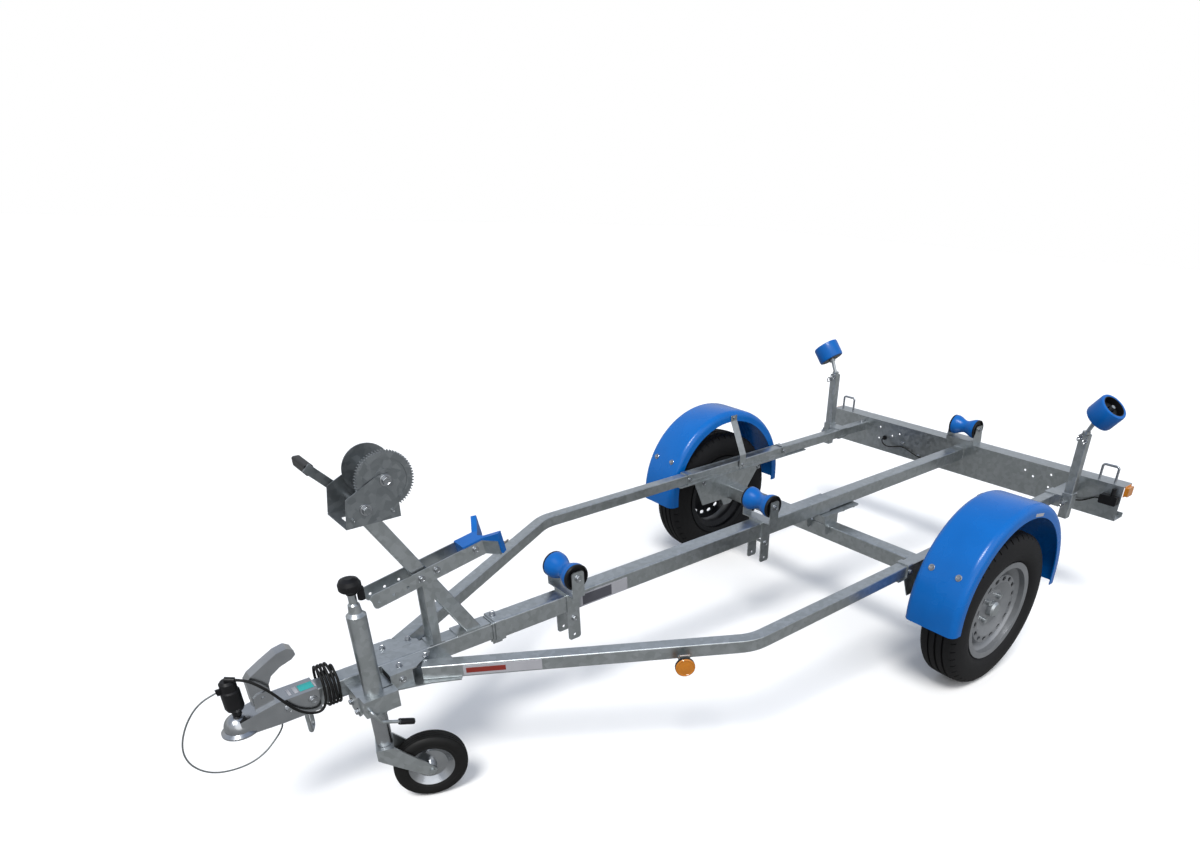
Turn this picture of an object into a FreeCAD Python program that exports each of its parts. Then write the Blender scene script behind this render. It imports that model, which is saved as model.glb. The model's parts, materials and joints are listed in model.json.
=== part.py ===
"""Single-axle boat trailer with a telescoping centre beam, keel rollers, hand winch and jockey wheel.

Everything is drawn level, in the trailer's own axes: x = 0 at the wheel axle and forward to the coupling,
y = 0 on the centre beam and positive to the left, z = 0 where the tyres touch the ground.  At the end each
piece is tipped nose-down onto the jockey wheel, as the trailer parks, and the origin goes to the ground
under the middle.  Lengths are millimetres, angles are degrees.
"""

import FreeCAD, Part

import math
import os

V = FreeCAD.Vector
X, Y, Z = V(1, 0, 0), V(0, 1, 0), V(0, 0, 1)

# ---- fits and clearances
SEAT = 0.3                 # gap between a rigid piece and what it rests on
RUN = 0.08                 # radial play of a turning or sliding shaft
SIDE_PLAY = 1.0            # end play of a roller or wheel between its cheeks
PLATE_T = 4.0              # folded and welded steel plate

# ---- road wheels
TYRE_R = 286.0
TYRE_W = 155.0
TYRE_WALL = 12.0
TYRE_TREAD = 20.0          # thickness under the tread
SHOULDER = 24.0            # width and drop of the tyre's shoulder
WALL_BULGE_R = 212.0       # radius at which the tyre is widest
RIM_FLANGE_R = 182.5
RIM_SEAT_R = 165.0
RIM_WELL_R = 142.0
RIM_W = 130.0
RIM_T = 3.5
FLANGE_T = 6.0             # width of the rim's rolled flange
DISC_T = 4.5
TRACK = 1415.0
HUB_FACE = 30.0            # hub face outboard of the rim's middle
DISH = 14.0                # how far the disc's vented ring stands out from the hub face
HUB_R = 62.0
HUB_BORE_R = 29.0
CAP_R = 22.0
CAP_LONG = 24.0            # grease cap beyond the hub face
STUD_CIRCLE_R = 50.0
STUD_COUNT = 4
STUD_R = 6.0
STUD_HEAD_R = 10.0
VENT_COUNT = 16
VENT_CIRCLE_R = 116.0
VENT_R = 8.0
VENT_STRETCH = 4.0         # how far each end of an oval vent lies from its middle
SPINDLE_R = 15.0

# ---- axle
AXLE_X = 35.0
AXLE_Z = 350.0
AXLE_SIDE = 60.0
AXLE_WALL = 4.0
AXLE_HALF = 600.0
ARM_W = 26.0
ARM_BOSS_R = 30.0
CLAMP_HALF = 110.0         # seat plate of the axle under the centre beam, along the beam
CLAMP_WIDE = 55.0
EAR_DROP = 84.0            # depth of the seat plate's pointed ears
AXLE_PLATE_Y = 533.0       # middle of the trapezoid plates over the axle
SADDLE_FRONT = 356.0       # ends of the saddle under each side rail
SADDLE_REAR = -439.0
SADDLE_STRAPS = [300.0, -290.0]   # where a strap goes over the rail

# ---- frame
BEAM_SIDE = 60.0
BEAM_WALL = 3.0
BEAM_CORNER = 5.0
BEAM_TOP = 494.0
BEAM_PLAY = 0.5            # between the outer tube and the tubes that slide in it
BEAM_REAR = 50.0
BEAM_FRONT = 1560.0
INNER_WALL = 3.0
INNER_OVERLAP = 90.0
COLLAR_LONG = 30.0
COLLAR_SET = 22.0          # collar's middle behind the tube's end
RAIL_SIDE = 41.0
RAIL_WALL = 2.5
RAIL_CORNER = 4.0
RAIL_TOP = 485.0
RAIL_Y = 553.0
RAIL_BEND_X = 1020.0
RAIL_BEND_R = 140.0
RAIL_NOSE_X = 1800.0
RAIL_NOSE_Y = 79.0
CROSS_FACE_X = -912.0
CROSS_TOP = 512.0
CROSS_H = 148.0
CROSS_DEPTH = 76.0
CROSS_LIP = 18.0
CROSS_T = 4.0
CROSS_HALF = 744.0
WEB_HOLE_R = 5.0
WEB_HOLES = [(330.0, 470.0), (370.0, 452.0), (446.0, 480.0), (446.0, 424.0)]   # y, z, also on the other side

# ---- coupling
BALL_X = 2246.0
BALL_Z = 452.0
BALL_R = 25.0
BALL_PLAY = 0.25
HEAD_T = 5.0
DOME_T = 9.0               # socket wall with the clamping jaw in it
SPOON_R = 43.0             # flared rim round the socket's mouth
SOCKET_DEPTH = 14.0        # straight wall of the socket below the ball's middle
SLEEVE_LONG = 100.0
SLEEVE_FRONT = 88.0        # front end of the square sleeve behind the ball
LEVER_PIN_X = 66.0         # lever's pin behind the ball and above the sleeve
LEVER_PIN_UP = 20.0
LEVER_W = 34.0
HOOP_R = 5.0
HOOP_DROP = 68.0
HOOP_HALF = 17.0

# ---- jockey wheel
JOCKEY_X = 1946.0
JOCKEY_Y = 100.0
JOCKEY_TUBE_R = 24.0
JOCKEY_TUBE_WALL = 2.5
JOCKEY_TUBE_TOP = 700.0
JOCKEY_TUBE_FOOT = 405.0
JOCKEY_NECK = 58.0
JOCKEY_LEG_WALL = 3.0
JOCKEY_LEG_TOP = 560.0
JOCKEY_HUB_Z = 203.0
JOCKEY_WHEEL_R = 100.0
JOCKEY_WHEEL_W = 52.0
JOCKEY_RIM_R = 62.0
JOCKEY_TRAIL = 106.0
JOCKEY_TURN = 160.6        # direction in which the wheel trails, from forward towards the left
JOCKEY_AXLE_R = 6.0
FORK_TOP = 305.0
FORK_T = 5.0
FORK_GAP = 4.0             # washer between the rim's hub and each cheek
SPINDLE_FOOT_R = 8.0       # swivel spindle under the leg
SPINDLE_HEAD_R = 13.0
BLOCK_X0, BLOCK_X1 = 1893.0, 1985.0
BLOCK_Z0, BLOCK_Z1 = 421.0, 470.0
BLOCK_OUT = 34.0           # block beyond the jockey tube's middle

# ---- winch
WINCH_X = 1806.0
WINCH_Z = 1002.0
WINCH_Y = 15.0
WINCH_WIDTH = 116.0
WINCH_AXLE_UP = 96.0       # drum's axle above the foot plate
WINCH_FRONT = 112.0        # foot plate in front of the drum's axle
WINCH_REAR = 22.0
FRAME_T = 3.0
MODULE = 2.25
GEAR_TEETH = 62
PINION_TEETH = 12
GEAR_W = 8.0
DRUM_R = 20.0
FLANGE_R = 62.0
DRUM_AXLE_R = 8.0
PINION_SHAFT_R = 7.0
PINION_ANGLE = -45.0       # direction from the drum's axle to the pinion, from forward towards up
CRANK_ANGLE = 48.0
CRANK_REACH = 100.0
CRANK_W = 24.0
CRANK_T = 6.0
GRIP_LONG = 88.0

# ---- winch post and bow stop
POST_SET = 32.0            # post's foot in front of the outer tube's end
POST_LEAN = 237.0          # how far forward the post's head is of its foot
POST_BAR = 40.0
POST_WALL = 2.5
BRACE_X = 1729.0
BRACE_WIDE = 24.0
BRACE_T = 6.4
CHANNEL_FRONT_X, CHANNEL_FRONT_Z = 1880.0, 676.0
CHANNEL_BEND_X, CHANNEL_BEND_Z = 1556.0, 736.5
CHANNEL_H = 42.0
CHANNEL_T = 3.0
CHANNEL_HOLES = [16.0, 57.0, 98.0]   # behind the front end
WING_LONG = 52.0           # splayed rear end of each channel wall
WING_SPLAY = 58.0          # its angle from the channel's line
PAD_T = 16.0               # thickness of the bow block's wings
PAD_LONG = 56.0            # length of the bow block between the walls

# ---- keel rollers, from front to rear: name, x, height of the centre
KEEL_ROLLERS = [("front", 1284.0, 563.0), ("middle", 423.0, 563.0)]
REAR_ROLLER_X = -935.0
REAR_ROLLER_Z = 582.0
ROLLER_LONG = 128.0
ROLLER_R = 42.0
ROLLER_WAIST_R = 27.0
ROLLER_END = 14.0          # cylindrical band at each end of a roller
ROLLER_PIN_R = 7.0
WAIST_STEPS = 4            # cones that make half of the waist
CHEEK_HALF = 34.0          # half width of the rear bracket at its base
REAR_BASE_UP = 20.0        # rear bracket's base plate above the beam
LEG_HALF = 22.0
LEG_DROP = 160.0           # how far a bracket's legs hang below the beam's top

# ---- side supports
POST_X = -722.0
POST_Y = 616.0
SIDE_POST = 35.0
SIDE_POST_WALL = 2.5
SIDE_POST_TOP = 738.0
SIDE_POST_FOOT = 395.0
WOBBLE_R = 58.0
WOBBLE_W = 76.0
WOBBLE_RECESS = 30.0
WOBBLE_RIM = 12.0
WOBBLE_PIN_R = 8.0
WOBBLE_X, WOBBLE_Y, WOBBLE_Z = -716.0, 668.0, 835.0
WOBBLE_WASHER = 12.0

# ---- rear fittings
HANDLE_Y = 668.0
HANDLE_WIDE = 64.0
HANDLE_RISE = 68.0
HANDLE_R = 5.0
MARKER_X = 1196.0          # side marker on the rail's front run
MARKER_R = 27.0
CONNECTOR_Y = 704.0        # black lamp connector on the rear beam
CONNECTOR_WIDE = 70.0

# ---- mudguards
GUARD_R = 342.0
GUARD_CENTRE_Z = 342.0
GUARD_T = 4.0
GUARD_IN = 604.0
GUARD_OUT = 800.0
GUARD_ROUND = 26.0         # radius of the outer edge
GUARD_LIP = 44.0           # depth of the turned-down outer edge, with its round
GUARD_FRONT_Z = 315.0
GUARD_REAR_Z = 300.0

# ---- leads, plug and safety wire
LEAD_R = 3.5
LAMP_LEAD_R = 3.0
WIRE_R = 2.0
PLUG_R = 22.0
PLUG_TOP = 585.0
COIL_FRONT, COIL_REAR = 2051.0, 1998.0
COIL_TOP, COIL_BOTTOM, COIL_HALF = 536.0, 419.0, 48.0

beam_mid = BEAM_TOP - BEAM_SIDE / 2
inner_side = BEAM_SIDE - 2 * BEAM_WALL - 2 * BEAM_PLAY
inner_half = inner_side / 2
drawbar_top = beam_mid + inner_half
drawbar_low = beam_mid - inner_half
rail_mid = RAIL_TOP - RAIL_SIDE / 2
rail_low = RAIL_TOP - RAIL_SIDE
rail_half = RAIL_SIDE / 2
wheel_y = TRACK / 2
hub_y = wheel_y + HUB_FACE
cross_bottom = CROSS_TOP - CROSS_H
sleeve_front = BALL_X - SLEEVE_FRONT
sleeve_rear = sleeve_front - SLEEVE_LONG
sleeve_top = drawbar_top + HEAD_T
winch_base = WINCH_Z - WINCH_AXLE_UP
frame_in = WINCH_WIDTH / 2
gear_r = MODULE * GEAR_TEETH / 2
pinion_r = MODULE * PINION_TEETH / 2
pinion_x = WINCH_X + (gear_r + pinion_r) * math.cos(math.radians(PINION_ANGLE))
pinion_z = WINCH_Z + (gear_r + pinion_r) * math.sin(math.radians(PINION_ANGLE))
post_foot_x = BEAM_FRONT + POST_SET
channel_half = POST_BAR / 2 + BRACE_T + 2 * SEAT
leg_r = JOCKEY_TUBE_R - JOCKEY_TUBE_WALL - RUN
fork_half = JOCKEY_WHEEL_W / 2 + SIDE_PLAY + FORK_GAP
dome_r = BALL_R + BALL_PLAY + DOME_T

nodes = {}


# ---------------------------------------------------------------- shape helpers
def box(x0, x1, y0, y1, z0, z1):
    """Block between two corners."""
    return Part.makeBox(x1 - x0, y1 - y0, z1 - z0, V(x0, y0, z0))


def rod(start, end, radius):
    """Round bar between two points."""
    return Part.makeCylinder(radius, (end - start).Length, start, end - start)


def ring(start, end, outer, inner):
    """Round tube between two points."""
    return rod(start, end, outer).cut(rod(start, end, inner))


def fuse(shapes):
    """One solid from several that meet."""
    return shapes[0].multiFuse(shapes[1:]).removeSplitter() if len(shapes) > 1 else shapes[0]


def cut_all(shape, tools):
    """A shape with several others taken out of it."""
    return shape.cut(Part.makeCompound(tools))


def group(shapes):
    """Several separate solids kept in one node."""
    return Part.makeCompound(shapes)


def extrude(points, direction):
    """Flat outline pushed along a vector."""
    return Part.Face(Part.makePolygon(points + [points[0]])).extrude(direction)


def side_plate(outline, y0, y1, soften=0.0):
    """Plate parallel to the beam: outline is (x, z) pairs, thickness runs from y0 to y1."""
    plate = extrude([V(x, y0, z) for x, z in outline], V(0, y1 - y0, 0))
    return round_edges(plate, soften, Y) if soften else plate


def flat_plate(outline, z0, z1, soften=0.0):
    """Level plate: outline is (x, y) pairs, thickness runs from z0 to z1."""
    plate = extrude([V(x, y, z0) for x, y in outline], V(0, 0, z1 - z0))
    return round_edges(plate, soften, Z) if soften else plate


def cross_plate(outline, x0, x1, soften=0.0):
    """Plate across the trailer: outline is (y, z) pairs, thickness runs from x0 to x1."""
    plate = extrude([V(x0, y, z) for y, z in outline], V(x1 - x0, 0, 0))
    return round_edges(plate, soften, X) if soften else plate


def round_edges(shape, radius, direction):
    """Fillet the straight edges that run along a direction."""
    picked = [e for e in shape.Edges if len(e.Vertexes) == 2
              and abs((e.Vertexes[1].Point - e.Vertexes[0].Point).normalize().dot(direction)) > 0.999]
    return shape.makeFillet(radius, picked)


def sides(near, far):
    """The two stretches of y between two distances from the middle: right, then left."""
    return [(-far, -near), (near, far)]


def bar(start, end, wide, high, corner, wall=0.0, up=Z):
    """Square tube, or solid bar, from start to end: wide lies across, high lies along up."""
    along = (end - start).normalize()
    across = up.cross(along).normalize()
    up = along.cross(across)
    tube = rounded_prism(start, end - start, across, up, wide, high, corner)
    if wall:
        inside = rounded_prism(start, end - start, across, up, wide - 2 * wall, high - 2 * wall,
                               max(corner - wall, 0.5))
        tube = tube.cut(inside)
    return tube


def rounded_prism(start, run, across, up, wide, high, corner):
    """Prism with a rounded rectangular section."""
    a, b = wide / 2 - corner, high / 2 - corner
    arcs = []
    for i, (sa, sb) in enumerate([(1, 1), (-1, 1), (-1, -1), (1, -1)]):
        centre = start + across * (sa * a) + up * (sb * b)
        ends = [across * sa, up * sb]
        first, last = ends if i % 2 == 0 else reversed(ends)
        middle = (first + last).normalize()
        arcs.append(Part.Arc(centre + first * corner, centre + middle * corner,
                             centre + last * corner).toShape())
    loop = []
    for arc, after in zip(arcs, arcs[1:] + arcs[:1]):
        loop.append(arc)
        loop.append(Part.makeLine(arc.Vertexes[1].Point, after.Vertexes[0].Point))
    return Part.Face(Part.Wire(loop)).extrude(run)


def bent_path(points, radii):
    """Wire of straight runs joined by tangent arcs, one radius for each inner point."""
    edges = []
    here = points[0]
    for before, corner, after, r in zip(points[:-2], points[1:-1], points[2:], radii):
        a = (before - corner).normalize()
        b = (after - corner).normalize()
        half = a.getAngle(b) / 2
        start, end = corner + a * (r / math.tan(half)), corner + b * (r / math.tan(half))
        centre = corner + (a + b).normalize() * (r / math.sin(half))
        middle = centre + (corner - centre).normalize() * r
        if (start - here).Length > 1e-6:
            edges.append(Part.makeLine(here, start))
        edges.append(Part.Arc(start, middle, end).toShape())
        here = end
    if (points[-1] - here).Length > 1e-6:
        edges.append(Part.makeLine(here, points[-1]))
    return Part.Wire(edges)


def bent_rod(points, bend, radius):
    """Round bar along a bent path with the same bend at each corner."""
    return sweep(bent_path(points, [bend] * (len(points) - 2)), points, radius)


def sweep(path, points, radius):
    """Round bar along a wire that starts at the first of its points."""
    circle = Part.Wire(Part.makeCircle(radius, points[0], points[1] - points[0]))
    return path.makePipeShell([circle], True, False)


def spin(profile, centre, axis, radial):
    """Solid of revolution: profile is (distance along the axis, radius) pairs about a centre."""
    points = [centre + axis * s + radial * r for s, r in profile]
    return Part.Face(Part.makePolygon(points + [points[0]])).revolve(centre, axis, 360)


def around(shape, count, first=0.0):
    """Copies of a shape turned about the y axis, the first one by a given angle."""
    copies = []
    for i in range(count):
        copy = shape.copy()
        copy.rotate(V(0, 0, 0), Y, first + 360.0 / count * i)
        copies.append(copy)
    return copies


def mirrored(shape):
    """The same shape on the other side of the trailer."""
    return shape.mirror(V(0, 0, 0), Y)


def both(shape):
    """A pair of like pieces, left and right, in one node."""
    return group([shape, mirrored(shape)])


# ---------------------------------------------------------------- frame
def make_frame():
    mid = V(0, 0, beam_mid)
    nodes["centre_beam"] = bar(mid + X * BEAM_REAR, mid + X * BEAM_FRONT, BEAM_SIDE, BEAM_SIDE, BEAM_CORNER,
                               BEAM_WALL)
    inner = (inner_side, inner_side, BEAM_CORNER - 1, INNER_WALL)
    nodes["front_drawbar"] = bar(mid + X * (BEAM_FRONT - INNER_OVERLAP), mid + X * (sleeve_front - 20), *inner)
    nodes["rear_inner_tube"] = bar(mid + X * CROSS_FACE_X, mid + X * (BEAM_REAR + INNER_OVERLAP), *inner)
    nodes["side_rails"] = both(side_rail())
    nodes["rear_cross_beam"] = cross_beam()
    nodes["beam_collar"] = collar(BEAM_FRONT - COLLAR_SET)
    nodes["rail_nose_brackets"] = both(nose_bracket())


def side_rail():
    """Square tube, straight along the side and then bent in towards the drawbar."""
    start = V(CROSS_FACE_X, RAIL_Y, rail_mid)
    corner = V(RAIL_BEND_X, RAIL_Y, rail_mid)
    nose = V(RAIL_NOSE_X, RAIL_NOSE_Y, rail_mid)
    slant = (nose - corner).normalize()
    turn = slant.getAngle(X)
    setback = RAIL_BEND_R * math.tan(turn / 2)
    centre = corner - X * setback - Y * RAIL_BEND_R
    skins = []
    for inset in (0.0, RAIL_WALL):
        side = RAIL_SIDE - 2 * inset
        rad = max(RAIL_CORNER - inset, 0.5)
        first = bar(start, corner - X * setback, side, side, rad)
        last = bar(corner + slant * setback, nose, side, side, rad)
        section = [f for f in first.Faces if abs(f.CenterOfMass.x - corner.x + setback) < 1e-6][0]
        skins.append(fuse([first, section.revolve(centre, Z, -math.degrees(turn)), last]))
    return skins[0].cut(skins[1])


def cross_beam():
    """Pressed channel, open to the rear, with a lip on each flange and holes through its web."""
    f, r, t = CROSS_FACE_X, CROSS_FACE_X - CROSS_DEPTH, CROSS_T
    section = [(f, cross_bottom), (f, CROSS_TOP), (r, CROSS_TOP), (r, CROSS_TOP - CROSS_LIP),
               (r + t, CROSS_TOP - CROSS_LIP), (r + t, CROSS_TOP - t), (f - t, CROSS_TOP - t),
               (f - t, cross_bottom + t), (r + t, cross_bottom + t), (r + t, cross_bottom + CROSS_LIP),
               (r, cross_bottom + CROSS_LIP), (r, cross_bottom)]
    beam = side_plate(section, -CROSS_HALF, CROSS_HALF)
    holes = [rod(V(f - 2 * t, s * y, z), V(f + t, s * y, z), WEB_HOLE_R) for y, z in WEB_HOLES for s in (-1, 1)]
    return cut_all(beam, holes)


def collar(x):
    """Folded collar that grips the end of the outer tube, split below where its bolt draws it together."""
    half = BEAM_SIDE / 2 + PLATE_T
    x0, x1 = x - COLLAR_LONG / 2, x + COLLAR_LONG / 2
    lug = 2 * PLATE_T
    outer = round_edges(box(x0, x1, -half, half, beam_mid - half, beam_mid + half), BEAM_CORNER, X)
    lugs = box(x0, x1, -lug, lug, beam_mid - half - 5 * PLATE_T, beam_mid - half + 1)
    bore = bar(V(x0 - 1, 0, beam_mid), V(x1 + 1, 0, beam_mid), BEAM_SIDE + 2 * SEAT, BEAM_SIDE + 2 * SEAT,
               BEAM_CORNER)
    split = box(x0 - 1, x1 + 1, -lug / 2, lug / 2, beam_mid - 2 * half, beam_mid)
    bolt = V(x, lug + 1, beam_mid - half - 3 * PLATE_T)
    return fuse([outer, lugs]).cut(bore).cut(split).cut(rod(bolt, bolt - Y * (2 * lug + 2), PLATE_T))


def nose_bracket():
    """Folded plates that hold a rail's front end against the drawbar."""
    front, rear, lip = BLOCK_X0 - SEAT, RAIL_NOSE_X - 100.0, RAIL_NOSE_Y + 10.0
    low_outline = [(front, inner_half), (front, lip), (RAIL_NOSE_X, lip + 30), (rear + 30, lip + 66),
                   (rear, lip + 28), (rear, inner_half)]
    low = flat_plate(low_outline, rail_low - PLATE_T, rail_low)
    top_rear = RAIL_NOSE_X - 40.0
    top_outline = [(front, inner_half), (front, lip), (top_rear + 60, lip), (top_rear, inner_half + 16),
                   (top_rear, inner_half)]
    top = flat_plate(top_outline, RAIL_TOP, RAIL_TOP + PLATE_T)
    web = box(RAIL_NOSE_X - 40, front, inner_half, inner_half + PLATE_T, rail_low, RAIL_TOP)
    face = box(front - 60, front, lip - PLATE_T, lip, rail_low, RAIL_TOP)
    return fuse([top, low, web, face])


# ---------------------------------------------------------------- running gear
def make_running_gear():
    axle_end = V(AXLE_X, AXLE_HALF, AXLE_Z)
    nodes["axle_tube"] = bar(mirrored(Part.Vertex(axle_end)).Point, axle_end, AXLE_SIDE, AXLE_SIDE, 5.0, AXLE_WALL)
    nodes["axle_centre_clamp"] = axle_centre_clamp()
    nodes["axle_side_plates"] = both(axle_side_plate())
    nodes["rail_saddles"] = both(rail_saddle())
    nodes["swing_arms"] = both(swing_arm())
    for name, shape in (("tyre_", tyre_solid()), ("rim_", rim_solid()), ("hub_", hub_solid())):
        nodes[name + "left"] = shape
        nodes[name + "right"] = mirrored(shape)


def axle_side_plate():
    """Trapezoid plate welded over the axle tube and bolted up to the rail's saddle."""
    top = rail_low - PLATE_T
    half = AXLE_SIDE / 2
    outline = [(AXLE_X + 235, top), (AXLE_X - 165, top), (AXLE_X - 75, AXLE_Z - half + 6),
               (AXLE_X + 185, AXLE_Z - half + 6)]
    plate = side_plate(outline, AXLE_PLATE_Y - PLATE_T / 2, AXLE_PLATE_Y + PLATE_T / 2)
    return plate.cut(box(AXLE_X - half, AXLE_X + half, 0, RAIL_Y, AXLE_Z - AXLE_SIDE, AXLE_Z + half))


def rail_saddle():
    """Channel under and beside the rail, with a flange for the axle plate and a strap over each end."""
    t = PLATE_T
    y0, y1 = RAIL_Y - rail_half, RAIL_Y + rail_half
    wall_ends = (SADDLE_STRAPS[1], SADDLE_STRAPS[0])
    pieces = [box(SADDLE_REAR, SADDLE_FRONT, y0 - 10, y1 + t, rail_low - t, rail_low),
              box(*wall_ends, y1, y1 + t, rail_low, RAIL_TOP + t / 2),
              box(*wall_ends, y0 - t, y0, rail_low, rail_low + 14)]
    for x in SADDLE_STRAPS:
        strap = box(x - 12, x + 12, y0 - t, y1 + t, rail_low - t / 2, RAIL_TOP + t)
        strap = round_edges(strap, t, X)
        pieces.append(strap.cut(box(x - 13, x + 13, y0, y1, rail_low - t, RAIL_TOP)))
    return fuse(pieces)


def axle_centre_clamp():
    """Seat between the axle and the centre beam, with a pair of pointed ears in front of the axle."""
    top = BEAM_TOP - BEAM_SIDE
    axle_top = AXLE_Z + AXLE_SIDE / 2
    wide = CLAMP_WIDE
    plate = flat_plate([(-CLAMP_HALF, wide), (-CLAMP_HALF, -wide), (CLAMP_HALF, -wide), (CLAMP_HALF, wide)],
                       top - PLATE_T, top, 12.0)
    half = AXLE_SIDE / 2 - 2
    seat = box(AXLE_X - half, AXLE_X + half, -40, 40, axle_top, top - PLATE_T)
    seat = seat.cut(box(AXLE_X - half + PLATE_T, AXLE_X + half - PLATE_T, -40 + PLATE_T, 40 - PLATE_T, axle_top,
                        top - PLATE_T))
    ear_top, ear_low = top - PLATE_T, top - EAR_DROP - PLATE_T
    rear = AXLE_X + AXLE_SIDE / 2 + 1
    outline = [(CLAMP_HALF - 5, ear_top), (rear, ear_top), (rear, ear_low + 8), (rear + 8, ear_low),
               (rear + 18, ear_low + 8)]
    ears = [side_plate(outline, y0, y1) for y0, y1 in sides(wide - 9, wide - 9 + PLATE_T)]
    return fuse([plate, seat] + ears)


def swing_arm():
    """Suspension arm at the axle tube's end, with the fixed spindle that the hub turns on."""
    y0 = AXLE_HALF + SEAT
    half = AXLE_SIDE / 2
    outline = [(AXLE_X + half - 2, AXLE_Z + half), (AXLE_X - half, AXLE_Z + half), (-ARM_BOSS_R - 2, TYRE_R - 20),
               (-20, TYRE_R - ARM_BOSS_R - 2), (22, TYRE_R - ARM_BOSS_R - 2), (AXLE_X + half - 2, AXLE_Z - half + 6)]
    arm = side_plate(outline, y0, y0 + ARM_W, 8.0)
    centre = V(0, 0, TYRE_R)
    boss = rod(centre + Y * y0, centre + Y * (y0 + ARM_W + 8), ARM_BOSS_R)
    spindle = rod(centre + Y * y0, centre + Y * (hub_y + 8), SPINDLE_R)
    return fuse([arm, boss, spindle])


def tyre_solid():
    """Tyre with a flat tread, square shoulders and bulged walls; its ribs and grooves are left to the finish."""
    half, seat = TYRE_W / 2, RIM_SEAT_R + SEAT
    foot = RIM_W / 2 - FLANGE_T - SEAT
    outside = [(foot, seat), (foot, RIM_FLANGE_R + SEAT), (half, WALL_BULGE_R),
               (half - SHOULDER / 3, TYRE_R - SHOULDER), (half - SHOULDER, TYRE_R)]
    inside = [(half - TYRE_WALL, TYRE_R - TYRE_TREAD), (foot - TYRE_WALL, seat)]
    profile = [(-y, r) for y, r in outside] + [(y, r) for y, r in reversed(outside)]
    profile += [(y, r) for y, r in reversed(inside)] + [(-y, r) for y, r in inside]
    return spin(profile, V(0, wheel_y, TYRE_R), Y, Z)


def rim_solid():
    """Pressed steel rim: drop-centre barrel with a dished disc that has a ring of oval vents."""
    half, t = RIM_W / 2, RIM_T
    seat_in, well_in = RIM_SEAT_R - t, RIM_WELL_R - t
    barrel = [(-half, RIM_FLANGE_R), (-half + t + 1, RIM_FLANGE_R), (-half + FLANGE_T, RIM_SEAT_R),
              (-half + 22, RIM_SEAT_R), (-half + 34, RIM_WELL_R), (half - 44, RIM_WELL_R),
              (half - 24, RIM_SEAT_R), (half - FLANGE_T, RIM_SEAT_R), (half - t - 1, RIM_FLANGE_R),
              (half, RIM_FLANGE_R), (half - 2, seat_in), (half - 22, seat_in), (half - 42, well_in),
              (-half + 32, well_in), (-half + 20, seat_in), (-half + 2, seat_in)]
    ring_in, ring_out = VENT_CIRCLE_R - VENT_R - 4, VENT_CIRCLE_R + VENT_R + 4
    out = HUB_FACE + DISH
    face = [(HUB_FACE, HUB_BORE_R), (HUB_FACE, HUB_R + 8), (out, ring_in), (out, ring_out), (HUB_FACE - 10, well_in + 1)]
    back = [(s - DISC_T, r) for s, r in reversed(face)]
    disc = spin(face + back, V(0, 0, 0), Y, Z)
    stud = rod(V(STUD_CIRCLE_R, 0, 0), V(STUD_CIRCLE_R, 2 * HUB_FACE, 0), STUD_R + 1)
    ends = [V(VENT_CIRCLE_R, 0, s * VENT_STRETCH) for s in (-1, 1)]
    deep = 2 * out
    vent = fuse([rod(ends[0], ends[0] + Y * deep, VENT_R), rod(ends[1], ends[1] + Y * deep, VENT_R),
                 box(VENT_CIRCLE_R - VENT_R, VENT_CIRCLE_R + VENT_R, 0, deep, -VENT_STRETCH, VENT_STRETCH)])
    tools = around(stud, STUD_COUNT, 45.0) + around(vent, VENT_COUNT, 180.0 / VENT_COUNT)
    return fuse([spin(barrel, V(0, 0, 0), Y, Z), cut_all(disc, tools)]).translated(V(0, wheel_y, TYRE_R))


def hub_solid():
    """Hub that turns on the spindle, with its flange, grease cap and wheel bolts."""
    seat = HUB_FACE - DISC_T
    neck = HUB_BORE_R - 0.5
    bore = SPINDLE_R + RUN
    body = spin([(-CAP_LONG, bore), (-CAP_LONG, neck + 6), (seat - 12, neck + 12), (seat - 10, HUB_R),
                 (seat, HUB_R), (seat, neck), (HUB_FACE + CAP_LONG - 8, neck), (HUB_FACE + CAP_LONG, CAP_R),
                 (HUB_FACE + CAP_LONG, 0), (HUB_FACE + 10, 0), (HUB_FACE + 10, bore)], V(0, 0, 0), Y, Z)
    stud = V(STUD_CIRCLE_R, seat - 5, 0)
    head = V(STUD_CIRCLE_R, HUB_FACE + SEAT, 0)
    bolt = fuse([rod(stud, stud + Y * 12, STUD_R), rod(head, head + Y * 12, STUD_HEAD_R)])
    return fuse([body] + around(bolt, STUD_COUNT, 45.0)).translated(V(0, wheel_y, TYRE_R))


# ---------------------------------------------------------------- mudguards
def make_mudguards():
    guard = mudguard()
    nodes["mudguard_left"] = guard
    nodes["mudguard_right"] = mirrored(guard)
    nodes["mudguard_stays"] = both(mudguard_stay())


def mudguard():
    """Arched plastic guard with a rounded, turned-down outer edge, open towards the frame and the ground."""
    centre = V(0, 0, GUARD_CENTRE_Z)
    front = guard_section(centre)
    arch = front.revolve(centre, Y, -180)
    rear = front.copy()
    rear.rotate(centre, Y, 180)
    skirts = [front.extrude(V(0, 0, GUARD_FRONT_Z - GUARD_CENTRE_Z)), rear.extrude(V(0, 0, GUARD_REAR_Z - GUARD_CENTRE_Z))]
    return fuse([arch] + skirts)


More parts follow.
